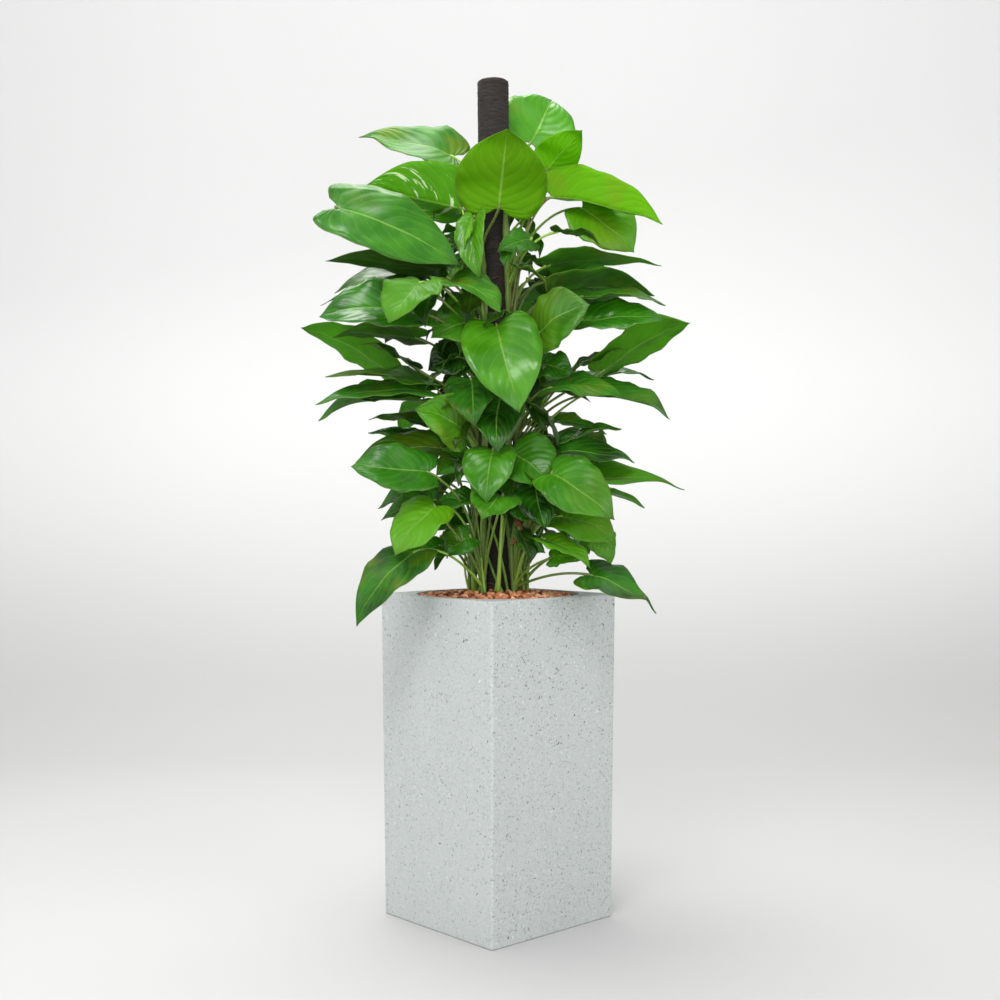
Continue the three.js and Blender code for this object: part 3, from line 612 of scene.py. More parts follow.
# Each stem: its bearing round the pole from the front towards +X, its top, and its leaves.
# A leaf: blade base, blade tip, where its upper face looks, width, arch, fold in degrees, and last,
# where it isn't 0, how blunt it is: 1 is broad at the end, -1 has a thin tail.
vines = [
    {"name": "vine_front_left", "bearing": -35, "top": 1262, "leaves": [
        [[2, -72, 1305], [17, -150, 1430], [0, 1, 0.3], 168, 8, 12],
        [[-66, -52, 1308], [-245, -62, 1349], [0, 0.7, 0.7], 150, 10, 35],
        [[-284, -130, 1294], [-66, -104, 1198], [0, -0.9, 0.5], 134, 12, 6],
        [[-150, -62, 1016], [-246, -74, 1062], [0, -0.3, 1], 70, 6, 12],
        [[-56, -80, 1276], [-66, -98, 1210], [-0.5, -1, 0], 34, 3, 20],
        [[-42, -78, 1286], [-34, -106, 1172], [-0.4, -1, 0.1], 64, 6, 30],
        [[-88, -84, 1176], [6, -164, 1108], [0.25, -0.6, 0.8], 100, 8, 8],
        [[-136, -124, 1163], [-192, -178, 1086], [-0.4, -0.8, 0.4], 112, 8, 8],
        [[-112, -112, 1146], [-130, -150, 1082], [-0.5, -1, 0.4], 64, 6, 30],
        [[-133, -110, 1110], [-317, -130, 1103], [0, -1, 0.7], 106, 12, 15, 0.6],
        [[-39, -50, 1108], [-118, -110, 1068], [-0.2, -1, 0.3], 116, 8, 10],
        [[-48, -80, 993], [-42, -150, 907], [-0.2, -1, 0.5], 95, 10, 8],
        [[-62, -90, 900], [-145, -140, 936], [-0.3, -0.9, 0.4], 100, 8, 12],
        [[-9, -110, 864], [-20, -170, 772], [-0.2, -1, 0.5], 95, 8, 8],
        [[-122, -120, 824], [-258, -150, 836], [0, -0.9, 0.6], 92, 10, 12, 0.5],
        [[8, -134, 782], [-28, -196, 744], [0, -0.7, 1], 90, 6, 8],
        [[-44, -70, 780], [-116, -92, 753], [0, -0.6, 1], 60, 6, 10],
        [[-117, -80, 775], [-212, -90, 741], [0, -0.8, 0.8], 60, 6, 15],
        [[-112, -125, 764], [-182, -165, 680], [-0.4, -0.8, 0.5], 104, 10, 10, 0.3],
        [[-50, -70, 708], [-98, -90, 674], [0, -0.9, 0.5], 60, 4, 10],
        [[-146, -130, 684], [-246, -190, 558], [-0.3, -0.8, 0.6], 92, 14, 8],
    ]},
    {"name": "vine_left", "bearing": -95, "top": 1370, "leaves": [
        [[-84, 5, 1418], [-262, 20, 1466], [0, -1, 1], 128, 8, 10, -0.5],
        [[-90, -20, 1200], [-316, -50, 1217], [0, 0.17, 1], 120, 8, 6],
        [[-148, 40, 1200], [-315, 60, 1176], [0, -0.9, 1], 120, 14, 10, -0.3],
        [[-129, -40, 1154], [-327, -40, 1137], [0, -0.3, 1], 100, 12, 12],
        [[-146, -50, 1072], [-304, -50, 1080], [0, 0.3, 1], 78, 6, 10, -0.3],
        [[-204, 20, 1018], [-370, 30, 1104], [0.2, 0.6, 1], 104, 14, 10, 0.7],
        [[-72, -45, 1038], [-128, -58, 1014], [0, -1, 0.6], 76, 8, 10],
        [[-121, -45, 991], [-318, -40, 1006], [0, -0.3, 1], 88, 9, 10],
        [[-127, -60, 973], [-334, -60, 953], [0, -0.5, 1], 90, 7, 12],
        [[-150, -15, 961], [-336, -10, 926], [0, -0.5, 1], 88, 15, 26, 0.5],
        [[-130, 10, 921], [-244, 20, 930], [0, -0.5, 1], 50, 8, 15],
        [[-110, 30, 885], [-247, 45, 907], [0, -0.5, 1], 60, -5, 35],
        [[-58, -50, 852], [-112, -75, 822], [0, -0.9, 0.6], 62, 5, 10],
        [[-86, -30, 868], [-262, -45, 848], [0, -0.6, 1], 100, 14, 12],
        [[-117, -27, 799], [-224, -27, 762], [0, -0.6, 1], 70, 8, 15],
        [[-103, -60, 692], [-162, -80, 668], [0, -0.8, 0.6], 50, 4, 10],
        [[-64, -26, 752], [-130, -44, 718], [0, -0.9, 0.6], 58, 5, 10],
    ]},
    {"name": "vine_front_right", "bearing": 40, "top": 1322, "leaves": [
        [[90, -20, 1384], [154, -75, 1448], [0, 1, 0.5], 82, 8, 12, -0.2],
        [[104, -82, 1260], [186, -84, 1240], [0, 0, 1], 66, 6, 10],
        [[60, -70, 1248], [0, -108, 1222], [0, -0.9, 0.4], 55, 5, 10],
        [[72, -90, 1074], [160, -150, 1120], [-0.2, -0.9, 0.4], 106, 8, 10, 0.5],
        [[-2, -110, 1087], [38, -185, 928], [0.05, -1, 0.45], 141, 12, 8],
        [[5, -70, 960], [0, -150, 862], [0, -1, 0.5], 95, 8, 8],
        [[27, -80, 862], [92, -114, 804], [0.15, -1, 0.4], 112, 6, 8, 0.3],
        [[31, -64, 838], [23, -104, 772], [0, -1, 0.4], 85, 8, 8],
        [[96, -126, 822], [206, -162, 742], [0.2, -0.9, 0.6], 118, 12, 8],
        [[68, -98, 803], [84, -152, 728], [0.1, -1, 0.3], 85, -6, 15],
        [[112, -80, 746], [212, -110, 697], [0.1, -0.7, 0.8], 104, 10, 10],
        [[82, -100, 706], [166, -140, 657], [0.3, -0.6, 1], 62, 10, 10],
        [[44, -80, 704], [85, -100, 682], [0, -1, 0.5], 40, 4, 10],
        [[34, -72, 768], [84, -92, 738], [0, -1, 0.4], 50, 5, 10],
        [[96, -90, 670], [148, -110, 670], [0, -0.9, 0.5], 45, 5, 10],
        [[164, -120, 642], [284, -150, 586], [0.15, -0.6, 1], 116, 6, 8, -1],
    ]},
    {"name": "vine_right", "bearing": 95, "top": 1268, "leaves": [
        [[98, -48, 1330], [300, -80, 1276], [0, 0.7, 0.7], 138, 12, 58],
        [[157, 0, 1320], [255, -15, 1237], [0.3, -0.9, 0.5], 126, 10, 8, 0.4],
        [[92, -20, 1210], [303, -25, 1216], [0, 0.2, 1], 110, 8, 6, -0.4],
        [[104, -30, 1156], [291, -20, 1157], [0, 0.4, 1], 138, 18, 8],
        [[150, -75, 1144], [306, -70, 1133], [0, -0.3, 1], 90, 8, 12],
        [[150, -84, 1100], [300, -94, 1104], [0, -0.9, 0.9], 76, 8, 15, 0.9],
        [[194, -10, 1016], [356, -12, 1108], [-0.2, 0.6, 1], 100, 14, 10, 0.7],
        [[78, -45, 1022], [140, -62, 1002], [0, -1, 0.6], 66, 8, 10],
        [[139, -10, 1014], [238, -30, 1058], [0, -0.3, 1], 60, 6, 10],
        [[151, 60, 1004], [300, 70, 1016], [0, -0.3, 1], 80, 8, 10, -0.6],
        [[93, -70, 979], [228, -100, 960], [0, -0.7, 1], 70, 12, 12],
        [[158, -45, 968], [318, -45, 926], [0, -0.5, 1], 84, 15, 26, 0.5],
        [[69, -30, 964], [172, -30, 960], [0, -0.5, 1], 55, 20, 12],
        [[100, -5, 924], [206, 10, 901], [0, -0.6, 1], 50, 8, 12],
        [[116, -20, 880], [231, 0, 912], [0, -0.4, 1], 48, 4, 25],
        [[107, -52, 861], [249, -72, 846], [0, -0.6, 1], 90, 9, 12],
        [[129, -40, 816], [344, -50, 806], [0, -0.6, 1], 94, 13, 12, -1],
        [[149, -20, 782], [274, -20, 768], [0, -0.4, 1], 60, 8, 20, -0.4],
        [[168, -46, 714], [208, -62, 656], [0.5, -0.7, 0.5], 70, 8, 8],
    ]},
    {"name": "vine_back_right", "bearing": 150, "top": 1400, "leaves": [
        [[63, 52, 1455], [107, 140, 1566], [0.3, -0.8, 0.4], 152, 8, 12],
        [[50, 90, 1385], [92, 235, 1398], [0, -0.2, 1], 120, 14, 10],
        [[125, 70, 1213], [215, 170, 1190], [0.2, 0.3, 1], 115, 14, 10],
        [[30, 110, 1180], [50, 265, 1120], [0, 0.5, 1], 130, 16, 10],
        [[120, 60, 1150], [228, 150, 1138], [0.2, 0.3, 1], 120, 12, 10],
        [[40, 110, 1010], [80, 270, 960], [0, 0.5, 1], 125, 14, 10],
        [[110, 80, 900], [215, 180, 850], [0.3, 0.4, 1], 120, 14, 10],
        [[30, 120, 850], [45, 270, 780], [0, 0.5, 1], 130, 16, 10],
        [[100, 90, 740], [185, 200, 670], [0.3, 0.5, 1], 110, 14, 10],
    ]},
    {"name": "vine_back_left", "bearing": -150, "top": 1330, "leaves": [
        [[-50, 80, 1380], [-110, 215, 1400], [0, -0.3, 1], 120, 12, 10],
        [[-90, 80, 1270], [-190, 190, 1240], [-0.2, 0.3, 1], 125, 14, 10],
        [[-30, 110, 1250], [-45, 255, 1205], [0, 0.4, 1], 120, 14, 10],
        [[-110, 70, 1130], [-225, 160, 1090], [-0.2, 0.3, 1], 130, 14, 10],
        [[-35, 120, 1080], [-60, 275, 1035], [0, 0.5, 1], 130, 16, 10],
        [[-100, 80, 960], [-200, 190, 910], [-0.3, 0.4, 1], 120, 14, 10],
        [[-30, 120, 920], [-40, 275, 870], [0, 0.5, 1], 125, 14, 10],
        [[-100, 90, 810], [-190, 200, 750], [-0.3, 0.4, 1], 120, 14, 10],
        [[-30, 120, 720], [-50, 255, 650], [0, 0.5, 1], 115, 14, 10],
    ]},
]

stemShape = {
    "radius": 6.0, "foot": 560, "gap": 0.7, "sway": 6, "swayPitch": 90, "splay": 10, "splayTop": 800,
    "step": 9, "sides": 12, "nodeSpacing": 62, "nodeSwell": 1.3, "nodeWidth": 5, "taper": 60,
    "topRadius": 3.4, "look": (0.2, 0.35, 0),
}
petioleShape = {
    "base": 3.7, "middle": 2.5, "end": 2.2, "knee": 0.7, "kneeAt": 0.93, "kneeWidth": 0.045, "lowest": 612,
    "steps": 16, "sides": 8, "slope": 0.6, "drop": 30, "baseDrop": 130, "baseZone": (980, 720),
    "spread": 0.2, "rise": 0.5, "arrival": 0.35, "turn": 0.6, "sink": 6, "under": 1.6,
}

# Rows from the notch to the tip, as shares of length and half width: the rim's place along and
# across, the midrib's place along, and how much a blunt leaf is broader there.
bladeShape = {
    "rows": [
        (-0.09, 0.24, 0, 0), (-0.12, 0.66, 0.08, 0), (0.08, 0.97, 0.24, 0), (0.38, 1, 0.44, 0.1),
        (0.66, 0.74, 0.66, 0.5), (0.87, 0.31, 0.87, 0.85), (0.955, 0.09, 0.955, 0.9), (1, 0, 1, 0),
    ],
    "across": 12, "along": 30, "thickness": 0.9, "goldenAngle": 2.4, "skew": 0.1, "skewTurns": 1.3,
    "bend": 0.045, "bendTurns": 0.7, "wave": 4, "waveTurns": 9, "ripple": 2.6, "rippleTurns": (1.7, 23, 4),
    "dent": 7.0, "dentScale": (2.7, 1.3), "twist": 9.0, "twistTurns": 2.3, "groove": 1.6, "grooveWidth": 5,
    "droop": 3.0, "tipDroop": 5.0, "tipStart": 0.78, "quilt": 0.45,
}

# How chosen leaves look: tone, warmth, cream and, for some, how matt. The others are drawn. These are partly
# each leaf's own colour and partly painted light: high tone and warmth paint the glow of backlit leaves, and
# the darkest tones paint leaves that sit in shade inside the plant.
leafLooks = {
    "vine_front_left": {
        0: (0.12, 0.8, 0, 0.2), 1: (0.7, 0.35, 0.5, 0.1), 2: (0.55, 0, 0.05, 0.3), 3: (0.15, 0, 0),
        4: (0.9, 0.8, 0.2), 5: (0.6, 0.45, 0), 6: (0.6, 0.1, 0.1, 0.7), 7: (0.6, 0.4, 0, 0.9),
        8: (0.3, 0, 0.1), 9: (0.45, 0, 0, 0), 10: (0.6, 0.2, 0), 11: (0.35, 0, 0), 12: (0.6, 0.35, 0),
        13: (0.6, 0.1, 0), 14: (0.45, 0, 0.1), 15: (0.5, 0.1, 0), 16: (0.4, 0, 0), 18: (0.7, 0.7, 0),
        19: (0.4, 0.1, 0), 20: (0.35, 0, 0.05)},
    "vine_left": {
        0: (0.6, 0, 0, 1), 1: (0.12, 0, 0), 2: (0.2, 0, 0), 3: (0.4, 0, 0.1), 5: (0.45, 0.25, 0),
        8: (0.5, 0, 0.2), 9: (0.35, 0, 0)},
    "vine_front_right": {
        0: (0.8, 0.8, 0), 1: (0.2, 0, 0), 2: (0.3, 0.05, 0), 3: (0.4, 0.2, 0), 4: (0.7, 0.15, 0, 0),
        5: (0.25, 0, 0), 6: (0.55, 0.1, 0), 7: (0.3, 0.1, 0), 8: (0.6, 0.1, 0), 9: (0.2, 0, 0),
        10: (0.6, 0.45, 0, 0.9), 11: (0.7, 0.55, 0, 0.9), 12: (0.5, 0.2, 0), 14: (0.55, 0.3, 0),
        15: (0.35, 0, 0, 0.3)},
    "vine_right": {
        0: (0.7, 0.85, 0), 1: (0.6, 0.65, 0), 2: (0.45, 0.1, 0), 3: (0.3, 0, 0), 4: (0.35, 0.05, 0),
        5: (0.6, 0, 0.1), 6: (0.45, 0.3, 0), 11: (0.45, 0, 0), 16: (0.5, 0.3, 0, 1), 18: (0.55, 0.5, 0, 0.8)},
    "vine_back_right": {0: (0.85, 0, 0.12, 0.5)},
    "vine_back_left": {},
}
drawnLook = {
    "tone": (0.12, 0.72), "warmthAndBacklight": (-0.25, 0.25), "cream": (-0.25, 0.2),
    "youngTone": (0.05, 0.4), "youngWarmth": (0, 0.2), "seed": 2024,
}


# A bearing counts from the front towards +X.
def outward(bearing, far=1):
    return Vector((far * math.sin(bearing), -far * math.cos(bearing), 0))


def stemPoint(vine, height):
    sway = stemShape["sway"] * math.sin(height / stemShape["swayPitch"] + vine["bearing"])
    bearing = math.radians(vine["bearing"] + (sway if height > soilTop else 0))
    below = stemShape["splayTop"] - height
    splay = stemShape["splay"] * smoothStep(0, stemShape["splayTop"] - soilTop, below)
    offset = poleShape["radius"] + stemShape["radius"] + stemShape["gap"] + splay
    return poleAxis(height) + outward(bearing, offset)


def bladeFrame(leaf):
    origin = Vector(leaf[0])
    along = Vector(leaf[1]) - origin
    length = along.length
    along.normalize()
    up = Vector(leaf[2])
    up = (up - along * up.dot(along)).normalized()
    return origin, along, up, along.cross(up), length


# A smooth curve through the rows, at a share from 0 at the notch to 1 at the tip.
def bladeRow(share):
    rows = bladeShape["rows"]
    place = share * (len(rows) - 1)
    i = min(int(place), len(rows) - 2)
    t = place - i
    near = (rows[max(i - 1, 0)], rows[i], rows[i + 1], rows[min(i + 2, len(rows) - 1)])
    return [0.5 * (2 * b + (c - a) * t + (2 * a - 5 * b + 4 * c - d) * t * t
                   + (3 * b - a - 3 * c + d) * t ** 3) for a, b, c, d in zip(*near)]


# A point of a blade, at u from -1 to 1 across it and at a share of the way from notch to tip.
def bladePoint(leaf, index, u, share):
    origin, along, up, side, length = bladeFrame(leaf)
    width, arch, fold = leaf[3:6]
    rimAlong, rimAcross, ribAlong, give = bladeRow(share)
    blunt = leaf[6] if len(leaf) > 6 else 0
    rimAcross *= 1 + blunt * give
    out = abs(u)
    placeAlong = mix(ribAlong, rimAlong, out ** 1.25)
    placeAcross = u * max(rimAcross, 0)
    phase = index * bladeShape["goldenAngle"]
    uneven = bladeShape["skew"] * math.sin(bladeShape["skewTurns"] * phase) * math.copysign(1, placeAcross)
    reach = placeAcross * (1 + uneven) * width / 2
    slope = math.radians(fold)
    hump = 4 * placeAlong * (1 - placeAlong)
    bend = bladeShape["bend"] * length * math.sin(bladeShape["bendTurns"] * phase) * hump
    lift = arch * hump
    wave = math.sin(phase + bladeShape["waveTurns"] * placeAlong + placeAcross)
    lift += bladeShape["wave"] * abs(placeAcross) * wave
    start, down, over = bladeShape["rippleTurns"]
    ripple = math.sin(phase * start + down * placeAlong + over * u)
    lift += bladeShape["ripple"] * abs(placeAcross) ** 3 * ripple
    down, over = bladeShape["dentScale"]
    dent = noise.noise(Vector((down * placeAlong, over * u, phase)))
    lift += bladeShape["dent"] * dent * min(1, 4 * share, 3 * (1 - share))
    lift += abs(reach) * math.sin(slope)
    twist = math.radians(bladeShape["twist"]) * math.sin(bladeShape["twistTurns"] * phase)
    lift += reach * math.sin(twist * (placeAlong - 0.2))
    lift -= bladeShape["groove"] * math.exp(-(reach / bladeShape["grooveWidth"]) ** 2) * (1 - placeAlong)
    lift -= bladeShape["droop"] * out ** 2.6 * rimAcross
    drip = smoothStep(bladeShape["tipStart"], 1, placeAlong)
    lift -= bladeShape["tipDroop"] * drip * (1 + 2 * max(0, -blunt))
    veinPlace = placeAlong - veinShape["slant"] * out - veinShape["bend"] * out ** veinShape["bendPower"]
    quilt = bladeShape["quilt"] * math.cos(veinPlace * veinShape["pairs"] * math.tau)
    lift += quilt * math.sin(math.pi * min(1, out)) * (1 - share)
    return origin + along * (placeAlong * length) + side * (reach * math.cos(slope) + bend) + up * lift


bladeLayers = [("loops", "uv", "leafMap"), ("loops", "float_color", "leafLook")]
stalkLayers = [("loops", "float_color", "leafLook")]


def addBlade(blades, leaf, index, look):
    bm, (mapLayer, lookLayer) = newPart(bladeLayers)
    across, along = bladeShape["across"], bladeShape["along"]
    grid = bmesh.ops.create_grid(bm, x_segments=across, y_segments=along, size=1, calc_uvs=True)["verts"]
    for face in bm.faces:
        face.smooth = True
        for loop in face.loops:
            loop[lookLayer] = look
            loop[mapLayer].uv = ((loop.vert.co.x + 1) / 2, (loop.vert.co.y + 1) / 2)
    for v in grid:
        v.co = bladePoint(leaf, index, v.co.x, (v.co.y + 1) / 2)
    bmesh.ops.remove_doubles(bm, verts=grid, dist=0.05)
    joinInto(blades, bm)


# A petiole leaves its stem upwards and arrives along the blade, with a small knee before it.
def addPetiole(stalks, vine, leaf, look):
    origin, along, up, _, _ = bladeFrame(leaf)
    reach = min((Vector(end) - stemPoint(vine, end[2])).to_2d().length for end in leaf[:2])
    high, low = petioleShape["baseZone"]
    drop = petioleShape["drop"] + petioleShape["baseDrop"] * smoothStep(0, high - low, high - origin.z)
    start = max(petioleShape["lowest"], origin.z - petioleShape["slope"] * reach - drop)
    start = stemPoint(vine, min(start, vine["top"] - stemShape["radius"]))
    way = origin - start
    arrival = way.normalized()
    if way.dot(along) > 0:
        arrival = arrival.lerp(along, petioleShape["turn"]).normalized()
    leaving = start + way * petioleShape["spread"]
    leaving.z = start.z + petioleShape["rise"] * way.z
    arriving = origin - arrival * (petioleShape["arrival"] * way.length)
    end = origin + arrival * petioleShape["sink"] - up * petioleShape["under"]
    radii = []
    steps = petioleShape["steps"]
    for i in range(steps + 1):
        t = i / steps
        radius = mix(petioleShape["base"], petioleShape["middle"], smoothStep(0, 0.35, t))
        radius = mix(radius, petioleShape["end"], smoothStep(0.35, 1, t))
        knee = math.exp(-((t - petioleShape["kneeAt"]) / petioleShape["kneeWidth"]) ** 2)
        radii.append(radius + petioleShape["knee"] * knee)
    points = curvePoints((start, leaving, arriving, end), steps)
    addTube(stalks, stalkLayers, points, radii, petioleShape["sides"], 1, look)


youngShape = {
    "spacing": 58, "backSpacing": 36, "lowest": 690, "below": 70, "spread": 70, "reach": (34, 66),
    "lift": (10, 40), "length": (58, 96), "turn": 0.7, "out": (0.35, 0.8), "down": (0.3, 0.9),
    "looksOut": (0.4, 1), "looksUp": (0.5, 1), "width": (0.5, 0.72), "arch": (3, 7), "fold": (6, 24),
    "blunt": (-0.5, 0.3),
}


# Small young leaves that stand close to a stem, each at its own bearing.
def youngLeaf(vine, height, draw):
    def drawn(key):
        return draw.uniform(*youngShape[key])
    stem = stemPoint(vine, height)
    out = outward(math.radians(vine["bearing"] + draw.uniform(-1, 1) * youngShape["spread"]))
    base = stem + out * drawn("reach") + Vector((0, 0, drawn("lift")))
    length = drawn("length")
    turned = Matrix.Rotation(draw.uniform(-youngShape["turn"], youngShape["turn"]), 3, "Z") @ out
    tip = base + (turned * drawn("out") - Vector((0, 0, drawn("down")))).normalized() * length
    looks = turned * drawn("looksOut") + Vector((0, 0, drawn("looksUp")))
    return [base, tip, looks, length * drawn("width"), drawn("arch"), drawn("fold"), drawn("blunt")]


rootShape = {
    "steps": 7, "sides": 6, "aside": (0.1, 0.2), "spread": (0.5, 1.3), "fall": (-30, 8), "clear": 1.4,
    "wobble": 0.8, "radius": (1.7, 0.6), "belowTop": 30,
}


# A thin aerial root that leaves the stem and clings to the pole.
def addRoot(stalks, vine, height, draw):
    start = stemPoint(vine, height)
    bearing = math.radians(vine["bearing"]) + draw.choice((-1, 1)) * draw.uniform(*rootShape["aside"])
    spread = draw.choice((-1, 1)) * draw.uniform(*rootShape["spread"])
    fall = draw.uniform(*rootShape["fall"])
    points = []
    radii = []
    for step in range(rootShape["steps"] + 1):
        share = step / rootShape["steps"]
        centre = poleAxis(height + fall * share ** 1.5)
        far = poleShape["radius"] + rootShape["clear"] + rootShape["wobble"] * math.sin(share * 9 + height)
        onPole = centre + outward(bearing + spread * share) * far
        points.append(start.lerp(onPole, smoothStep(0, 0.3, share)))
        radii.append(mix(*rootShape["radius"], share))
    addTube(stalks, stalkLayers, points, radii, rootShape["sides"], 2, (0, 0, 0, 0))


def addStem(stalks, vine, draw):
    foot, top, spacing = stemShape["foot"], vine["top"], stemShape["nodeSpacing"]
    steps = int((top - foot) / stemShape["step"])
    points = [stemPoint(vine, mix(foot, top, i / steps)) for i in range(steps + 1)]
    radii = []
    for point in points:
        away = abs((point.z / spacing) % 1 - 0.5) * spacing
        swell = stemShape["nodeSwell"] * math.exp(-(away / stemShape["nodeWidth"]) ** 2)
        thin = smoothStep(top - stemShape["taper"], top, point.z)
        radii.append(mix(stemShape["radius"], stemShape["topRadius"], thin) + swell)
    addTube(stalks, stalkLayers, points, radii, stemShape["sides"], 0, (*stemShape["look"], draw.random()))
    height = foot + spacing
    while height < top - rootShape["belowTop"]:
        addRoot(stalks, vine, height, draw)
        height += spacing


def makeVine(vine, draw):
    looks = leafLooks[vine["name"]]
    blades, _ = newPart(bladeLayers)
    stalks, _ = newPart(stalkLayers)
    for index, leaf in enumerate(vine["leaves"]):
        drawn = [max(0, draw.uniform(*drawnLook[key])) for key in ("tone", "warmthAndBacklight", "cream")]
        own = draw.random()
        tone, warmthAndBacklight, cream, own = (*looks.get(index, drawn), own)[:4]
        addBlade(blades, leaf, index, (tone, warmthAndBacklight, cream, own))
        addPetiole(stalks, vine, leaf, (0.9 * own * own, 0.1 + 0.6 * (1 - own), 0, own))
    spacing = youngShape["backSpacing" if "back" in vine["name"] else "spacing"]
    height = youngShape["lowest"] + draw.uniform(0, 20)
    while height < vine["top"] - youngShape["below"]:
        leaf = youngLeaf(vine, height, draw)
        tone, own = draw.uniform(*drawnLook["youngTone"]), draw.random()
        addBlade(blades, leaf, draw.randrange(40), (tone, draw.uniform(*drawnLook["youngWarmth"]), 0, own))
        addPetiole(stalks, vine, leaf, (tone, 0.3, 0, own))
        height += spacing * draw.uniform(0.8, 1.2)
    addStem(stalks, vine, draw)
    name = vine["name"]
    bladePiece = makePiece(name + "_blades", blades, toPart, [leafUpper, leafLower], [name])
    wall = bladePiece.modifiers.new("bladeThickness", "SOLIDIFY")
    wall.thickness = bladeShape["thickness"] / 1000
    wall.offset = -1
    wall.material_offset = 1
    wall.material_offset_rim = 1
    stalkPiece = makePiece(name + "_stalks", stalks, toPart, [stemSkin, petioleSkin, rootBark])
    faces = [len(piece.data.polygons) for piece in (bladePiece, stalkPiece)]
    print(name, "blade and stalk faces:", *faces)


strands = {
    "count": 27, "ring": (40, 56), "foot": 596, "length": (90, 290), "lean": (4, 34), "bow": 14,
    "reach": 105, "radius": (1.5, 3.5), "taper": (1.2, 0.8), "pale": (0, 0.3, 0.8, 1), "brown": (0, 0.5),
    "seed": 34, "sides": 8, "steps": 14, "longSteps": 16, "longTaper": (1.5, 1), "sheathSteps": 12,
}

# Long stalks that run up beside the pole to a leaf: four curve points, width, how pale, how brown.
longStalks = [
    (((24, -34, 1120), (36, -50, 1200), (50, -58, 1300), (97, -49, 1329)), 1.7, 0, 0.8),
    (((24, -34, 1080), (40, -46, 1180), (46, -56, 1300), (91, -22, 1383)), 1.6, 0, 0.6),
    (((-22, -34, 1090), (-34, -62, 1150), (-44, -66, 1220), (-65, -53, 1307)), 2.0, 0.9, 0),
    (((-18, -36, 1040), (-26, -68, 1100), (-34, -76, 1180), (-56, -80, 1275)), 1.8, 0.6, 0),
    (((26, -36, 850), (46, -56, 900), (92, -62, 965), (138, -12, 1013)), 1.9, 0, 0.7),
    (((26, -36, 820), (44, -54, 870), (90, -66, 930), (157, -45, 967)), 1.9, 0.2, 0.4),
    (((26, -36, 800), (50, -50, 850), (76, -56, 900), (106, -8, 923)), 1.7, 0, 0.6),
    (((-26, -36, 830), (-44, -56, 880), (-80, -66, 940), (-121, -46, 990)), 1.9, 0.3, 0.3),
]

# Dry reddish sheaths left at the foot of the stems: four curve points and a width.
drySheaths = [
    (((30, -72, 740), (46, -88, 730), (42, -94, 706), (22, -78, 692)), 5.0),
    (((44, -62, 742), (50, -70, 748), (58, -70, 740), (62, -66, 728)), 3.2),
    (((-40, 58, 700), (-48, 70, 690), (-46, 76, 672), (-38, 64, 660)), 4.0),
]


# Bare stalks that rise from the pebbles, cross one another and end against the stems above.
def makeStrands():
    draw = random.Random(strands["seed"])
    stalks, _ = newPart(stalkLayers)

    def addStrand(corners, steps, width, taper, look):
        radii = [width * mix(*taper, i / steps) for i in range(steps + 1)]
        addTube(stalks, stalkLayers, curvePoints(corners, steps), radii, strands["sides"], 1, look)

    for index in range(strands["count"]):
        bearing = math.tau * (index + draw.uniform(-0.45, 0.45)) / strands["count"]
        out = outward(bearing)
        across = Vector((math.cos(bearing), math.sin(bearing), 0))
        start = out * draw.uniform(*strands["ring"]) + Vector((0, 0, strands["foot"]))
        high = strands["foot"] + draw.uniform(*strands["length"])
        aim = start + across * draw.uniform(-1, 1) * strands["reach"]
        nearest = min(vines, key=lambda vine: (stemPoint(vine, high) - aim).to_2d().length)
        end = stemPoint(nearest, high)
        middle = start.lerp(end, 0.5) + out * draw.uniform(*strands["lean"])
        middle += across * draw.uniform(-1, 1) * strands["bow"]
        width = draw.uniform(*strands["radius"])
        look = (draw.choice(strands["pale"]), draw.uniform(*strands["brown"]), 0, draw.random())
        corners = (start, middle, middle.lerp(end, 0.5), end)
        addStrand(corners, strands["steps"], width, strands["taper"], look)
    for corners, width, pale, brown in longStalks:
        addStrand(corners, strands["longSteps"], width, strands["longTaper"], (pale, brown, 0, 0.5))
    steps = strands["sheathSteps"]
    for corners, width in drySheaths:
        swell = [math.sin(math.pi * min(1, 0.12 + 0.88 * i / steps)) ** 0.8 for i in range(steps + 1)]
        radii = [0.5 + width * share for share in swell]
        points = curvePoints(corners, steps)
        addTube(stalks, stalkLayers, points, radii, strands["sides"], 2, (0, 0.2, 0, 0.5))
    makePiece("baseStrands", stalks, toPart, [stemSkin, petioleSkin, sheathSkin])
    print("strands made")


makePebbles()
makePole()
makeStrands()
drawLeaves = random.Random(drawnLook["seed"])
for vine in vines:
    makeVine(vine, drawLeaves)

camera = {"place": (4.04, -2594.45, 774.33), "lens": 50, "sensor": 36}
cameraData = bpy.data.cameras.new("camera")
cameraData.lens = camera["lens"]
cameraData.sensor_width = camera["sensor"]
cameraObject = bpy.data.objects.new("camera", cameraData)
level = Matrix.Rotation(math.radians(plantTurn), 4, "Z") @ Matrix.Rotation(math.radians(90), 4, "X")
cameraObject.matrix_world = Matrix.Translation(toPart @ Vector(camera["place"])) @ level
bpy.context.collection.objects.link(cameraObject)
bpy.context.scene.camera = cameraObject

studio = {
    "floorFront": -5000, "floorBack": 1500, "halfWidth": 6000, "curve": 2400, "curveSteps": 24,
    "paleSteps": (4, 18), "wallTop": 5600, "sky": (1.0, 1.0, 1.0), "skyStrength": 0.68,
}


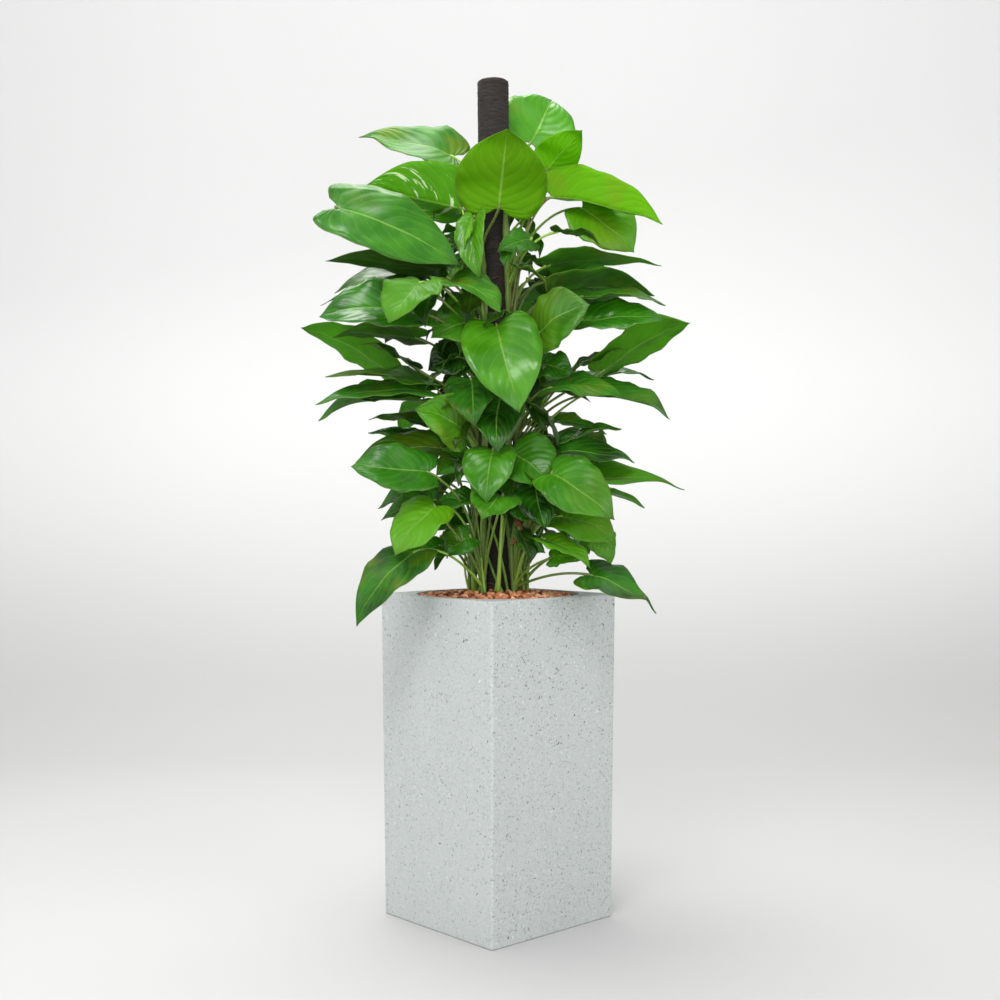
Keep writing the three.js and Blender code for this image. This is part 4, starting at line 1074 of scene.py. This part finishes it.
# A floor that rises into a wall behind the plant in one sweep.
def makeSweep():
    bm = bmesh.new()
    rise = bm.verts.layers.float.new("rise")
    front = [bm.verts.new((side * studio["halfWidth"], studio["floorFront"], 0)) for side in (-1, 1)]
    edge = bm.edges.new(front)
    profile = [(Vector((0, studio["floorBack"], 0)), 0)]
    steps = studio["curveSteps"]
    for i in range(1, steps + 1):
        angle = math.radians(90 * i / steps)
        out = studio["floorBack"] + studio["curve"] * math.sin(angle)
        up = studio["curve"] * (1 - math.cos(angle))
        profile.append((Vector((0, out, up)), smoothStep(*studio["paleSteps"], i)))
    profile.append((Vector((0, studio["floorBack"] + studio["curve"], studio["wallTop"])), 1))
    here = Vector((0, studio["floorFront"], 0))
    for point, share in profile:
        grown = bmesh.ops.extrude_edge_only(bm, edges=[edge])["geom"]
        fresh = [g for g in grown if isinstance(g, bmesh.types.BMVert)]
        edges = [g for g in grown if isinstance(g, bmesh.types.BMEdge)]
        edge = next(g for g in edges if all(v in fresh for v in g.verts))
        for v in fresh:
            v.co += point - here
            v[rise] = share
        here = point
    for face in bm.faces:
        face.smooth = True
    bmesh.ops.recalc_face_normals(bm, faces=bm.faces)
    bm.transform(toPart)
    mesh = bpy.data.meshes.new("studioSweep")
    bm.to_mesh(mesh)
    bm.free()
    mesh.materials.append(makeStudioPaper())
    sweep = bpy.data.objects.new("studioSweep", mesh)
    bpy.context.collection.objects.link(sweep)


makeSweep()

world = bpy.data.worlds.new("studioSky")
bpy.context.scene.world = world
world.use_nodes = True
sky = world.node_tree.nodes["Background"].inputs
sky["Color"].default_value = (*studio["sky"], 1)
sky["Strength"].default_value = studio["skyStrength"]

# Each light: place and aim in millimetres seen from the camera, size in metres, watts, colour.
lights = {
    "topBack": ((-400, 600, 3100), (0, 0, 1150), 1.8, 71, (1.0, 1.0, 0.96)),
    "leftSoft": ((-2500, -1800, 1700), (0, 0, 950), 2.8, 37, (1.0, 1.0, 1.0)),
    "rightSoft": ((2600, -1800, 1600), (0, 0, 950), 2.8, 37, (1.0, 1.0, 1.0)),
    "frontTop": ((-500, -2300, 3300), (0, 0, 1100), 1.3, 60, (1.0, 1.0, 0.98)),
    "potFill": ((0, -3600, 700), (0, 0, 420), 1.6, 22, (1.0, 1.0, 1.0)),
    "wallWash": ((0, 900, 5600), (0, 3900, 3200), 3.0, 41, (1.0, 1.0, 1.0)),
}
for name, (place, aim, size, power, tint) in lights.items():
    lightData = bpy.data.lights.new(name, "AREA")
    lightData.shape = "DISK"
    lightData.size = size
    lightData.energy = power
    lightData.color = tint
    light = bpy.data.objects.new(name, lightData)
    start, end = toPart @ Vector(place), toPart @ Vector(aim)
    turn = (end - start).to_track_quat("-Z", "Y").to_matrix().to_4x4()
    light.matrix_world = Matrix.Translation(start) @ turn
    bpy.context.collection.objects.link(light)

bpy.context.scene.view_settings.view_transform = "Standard"

print("scene done")
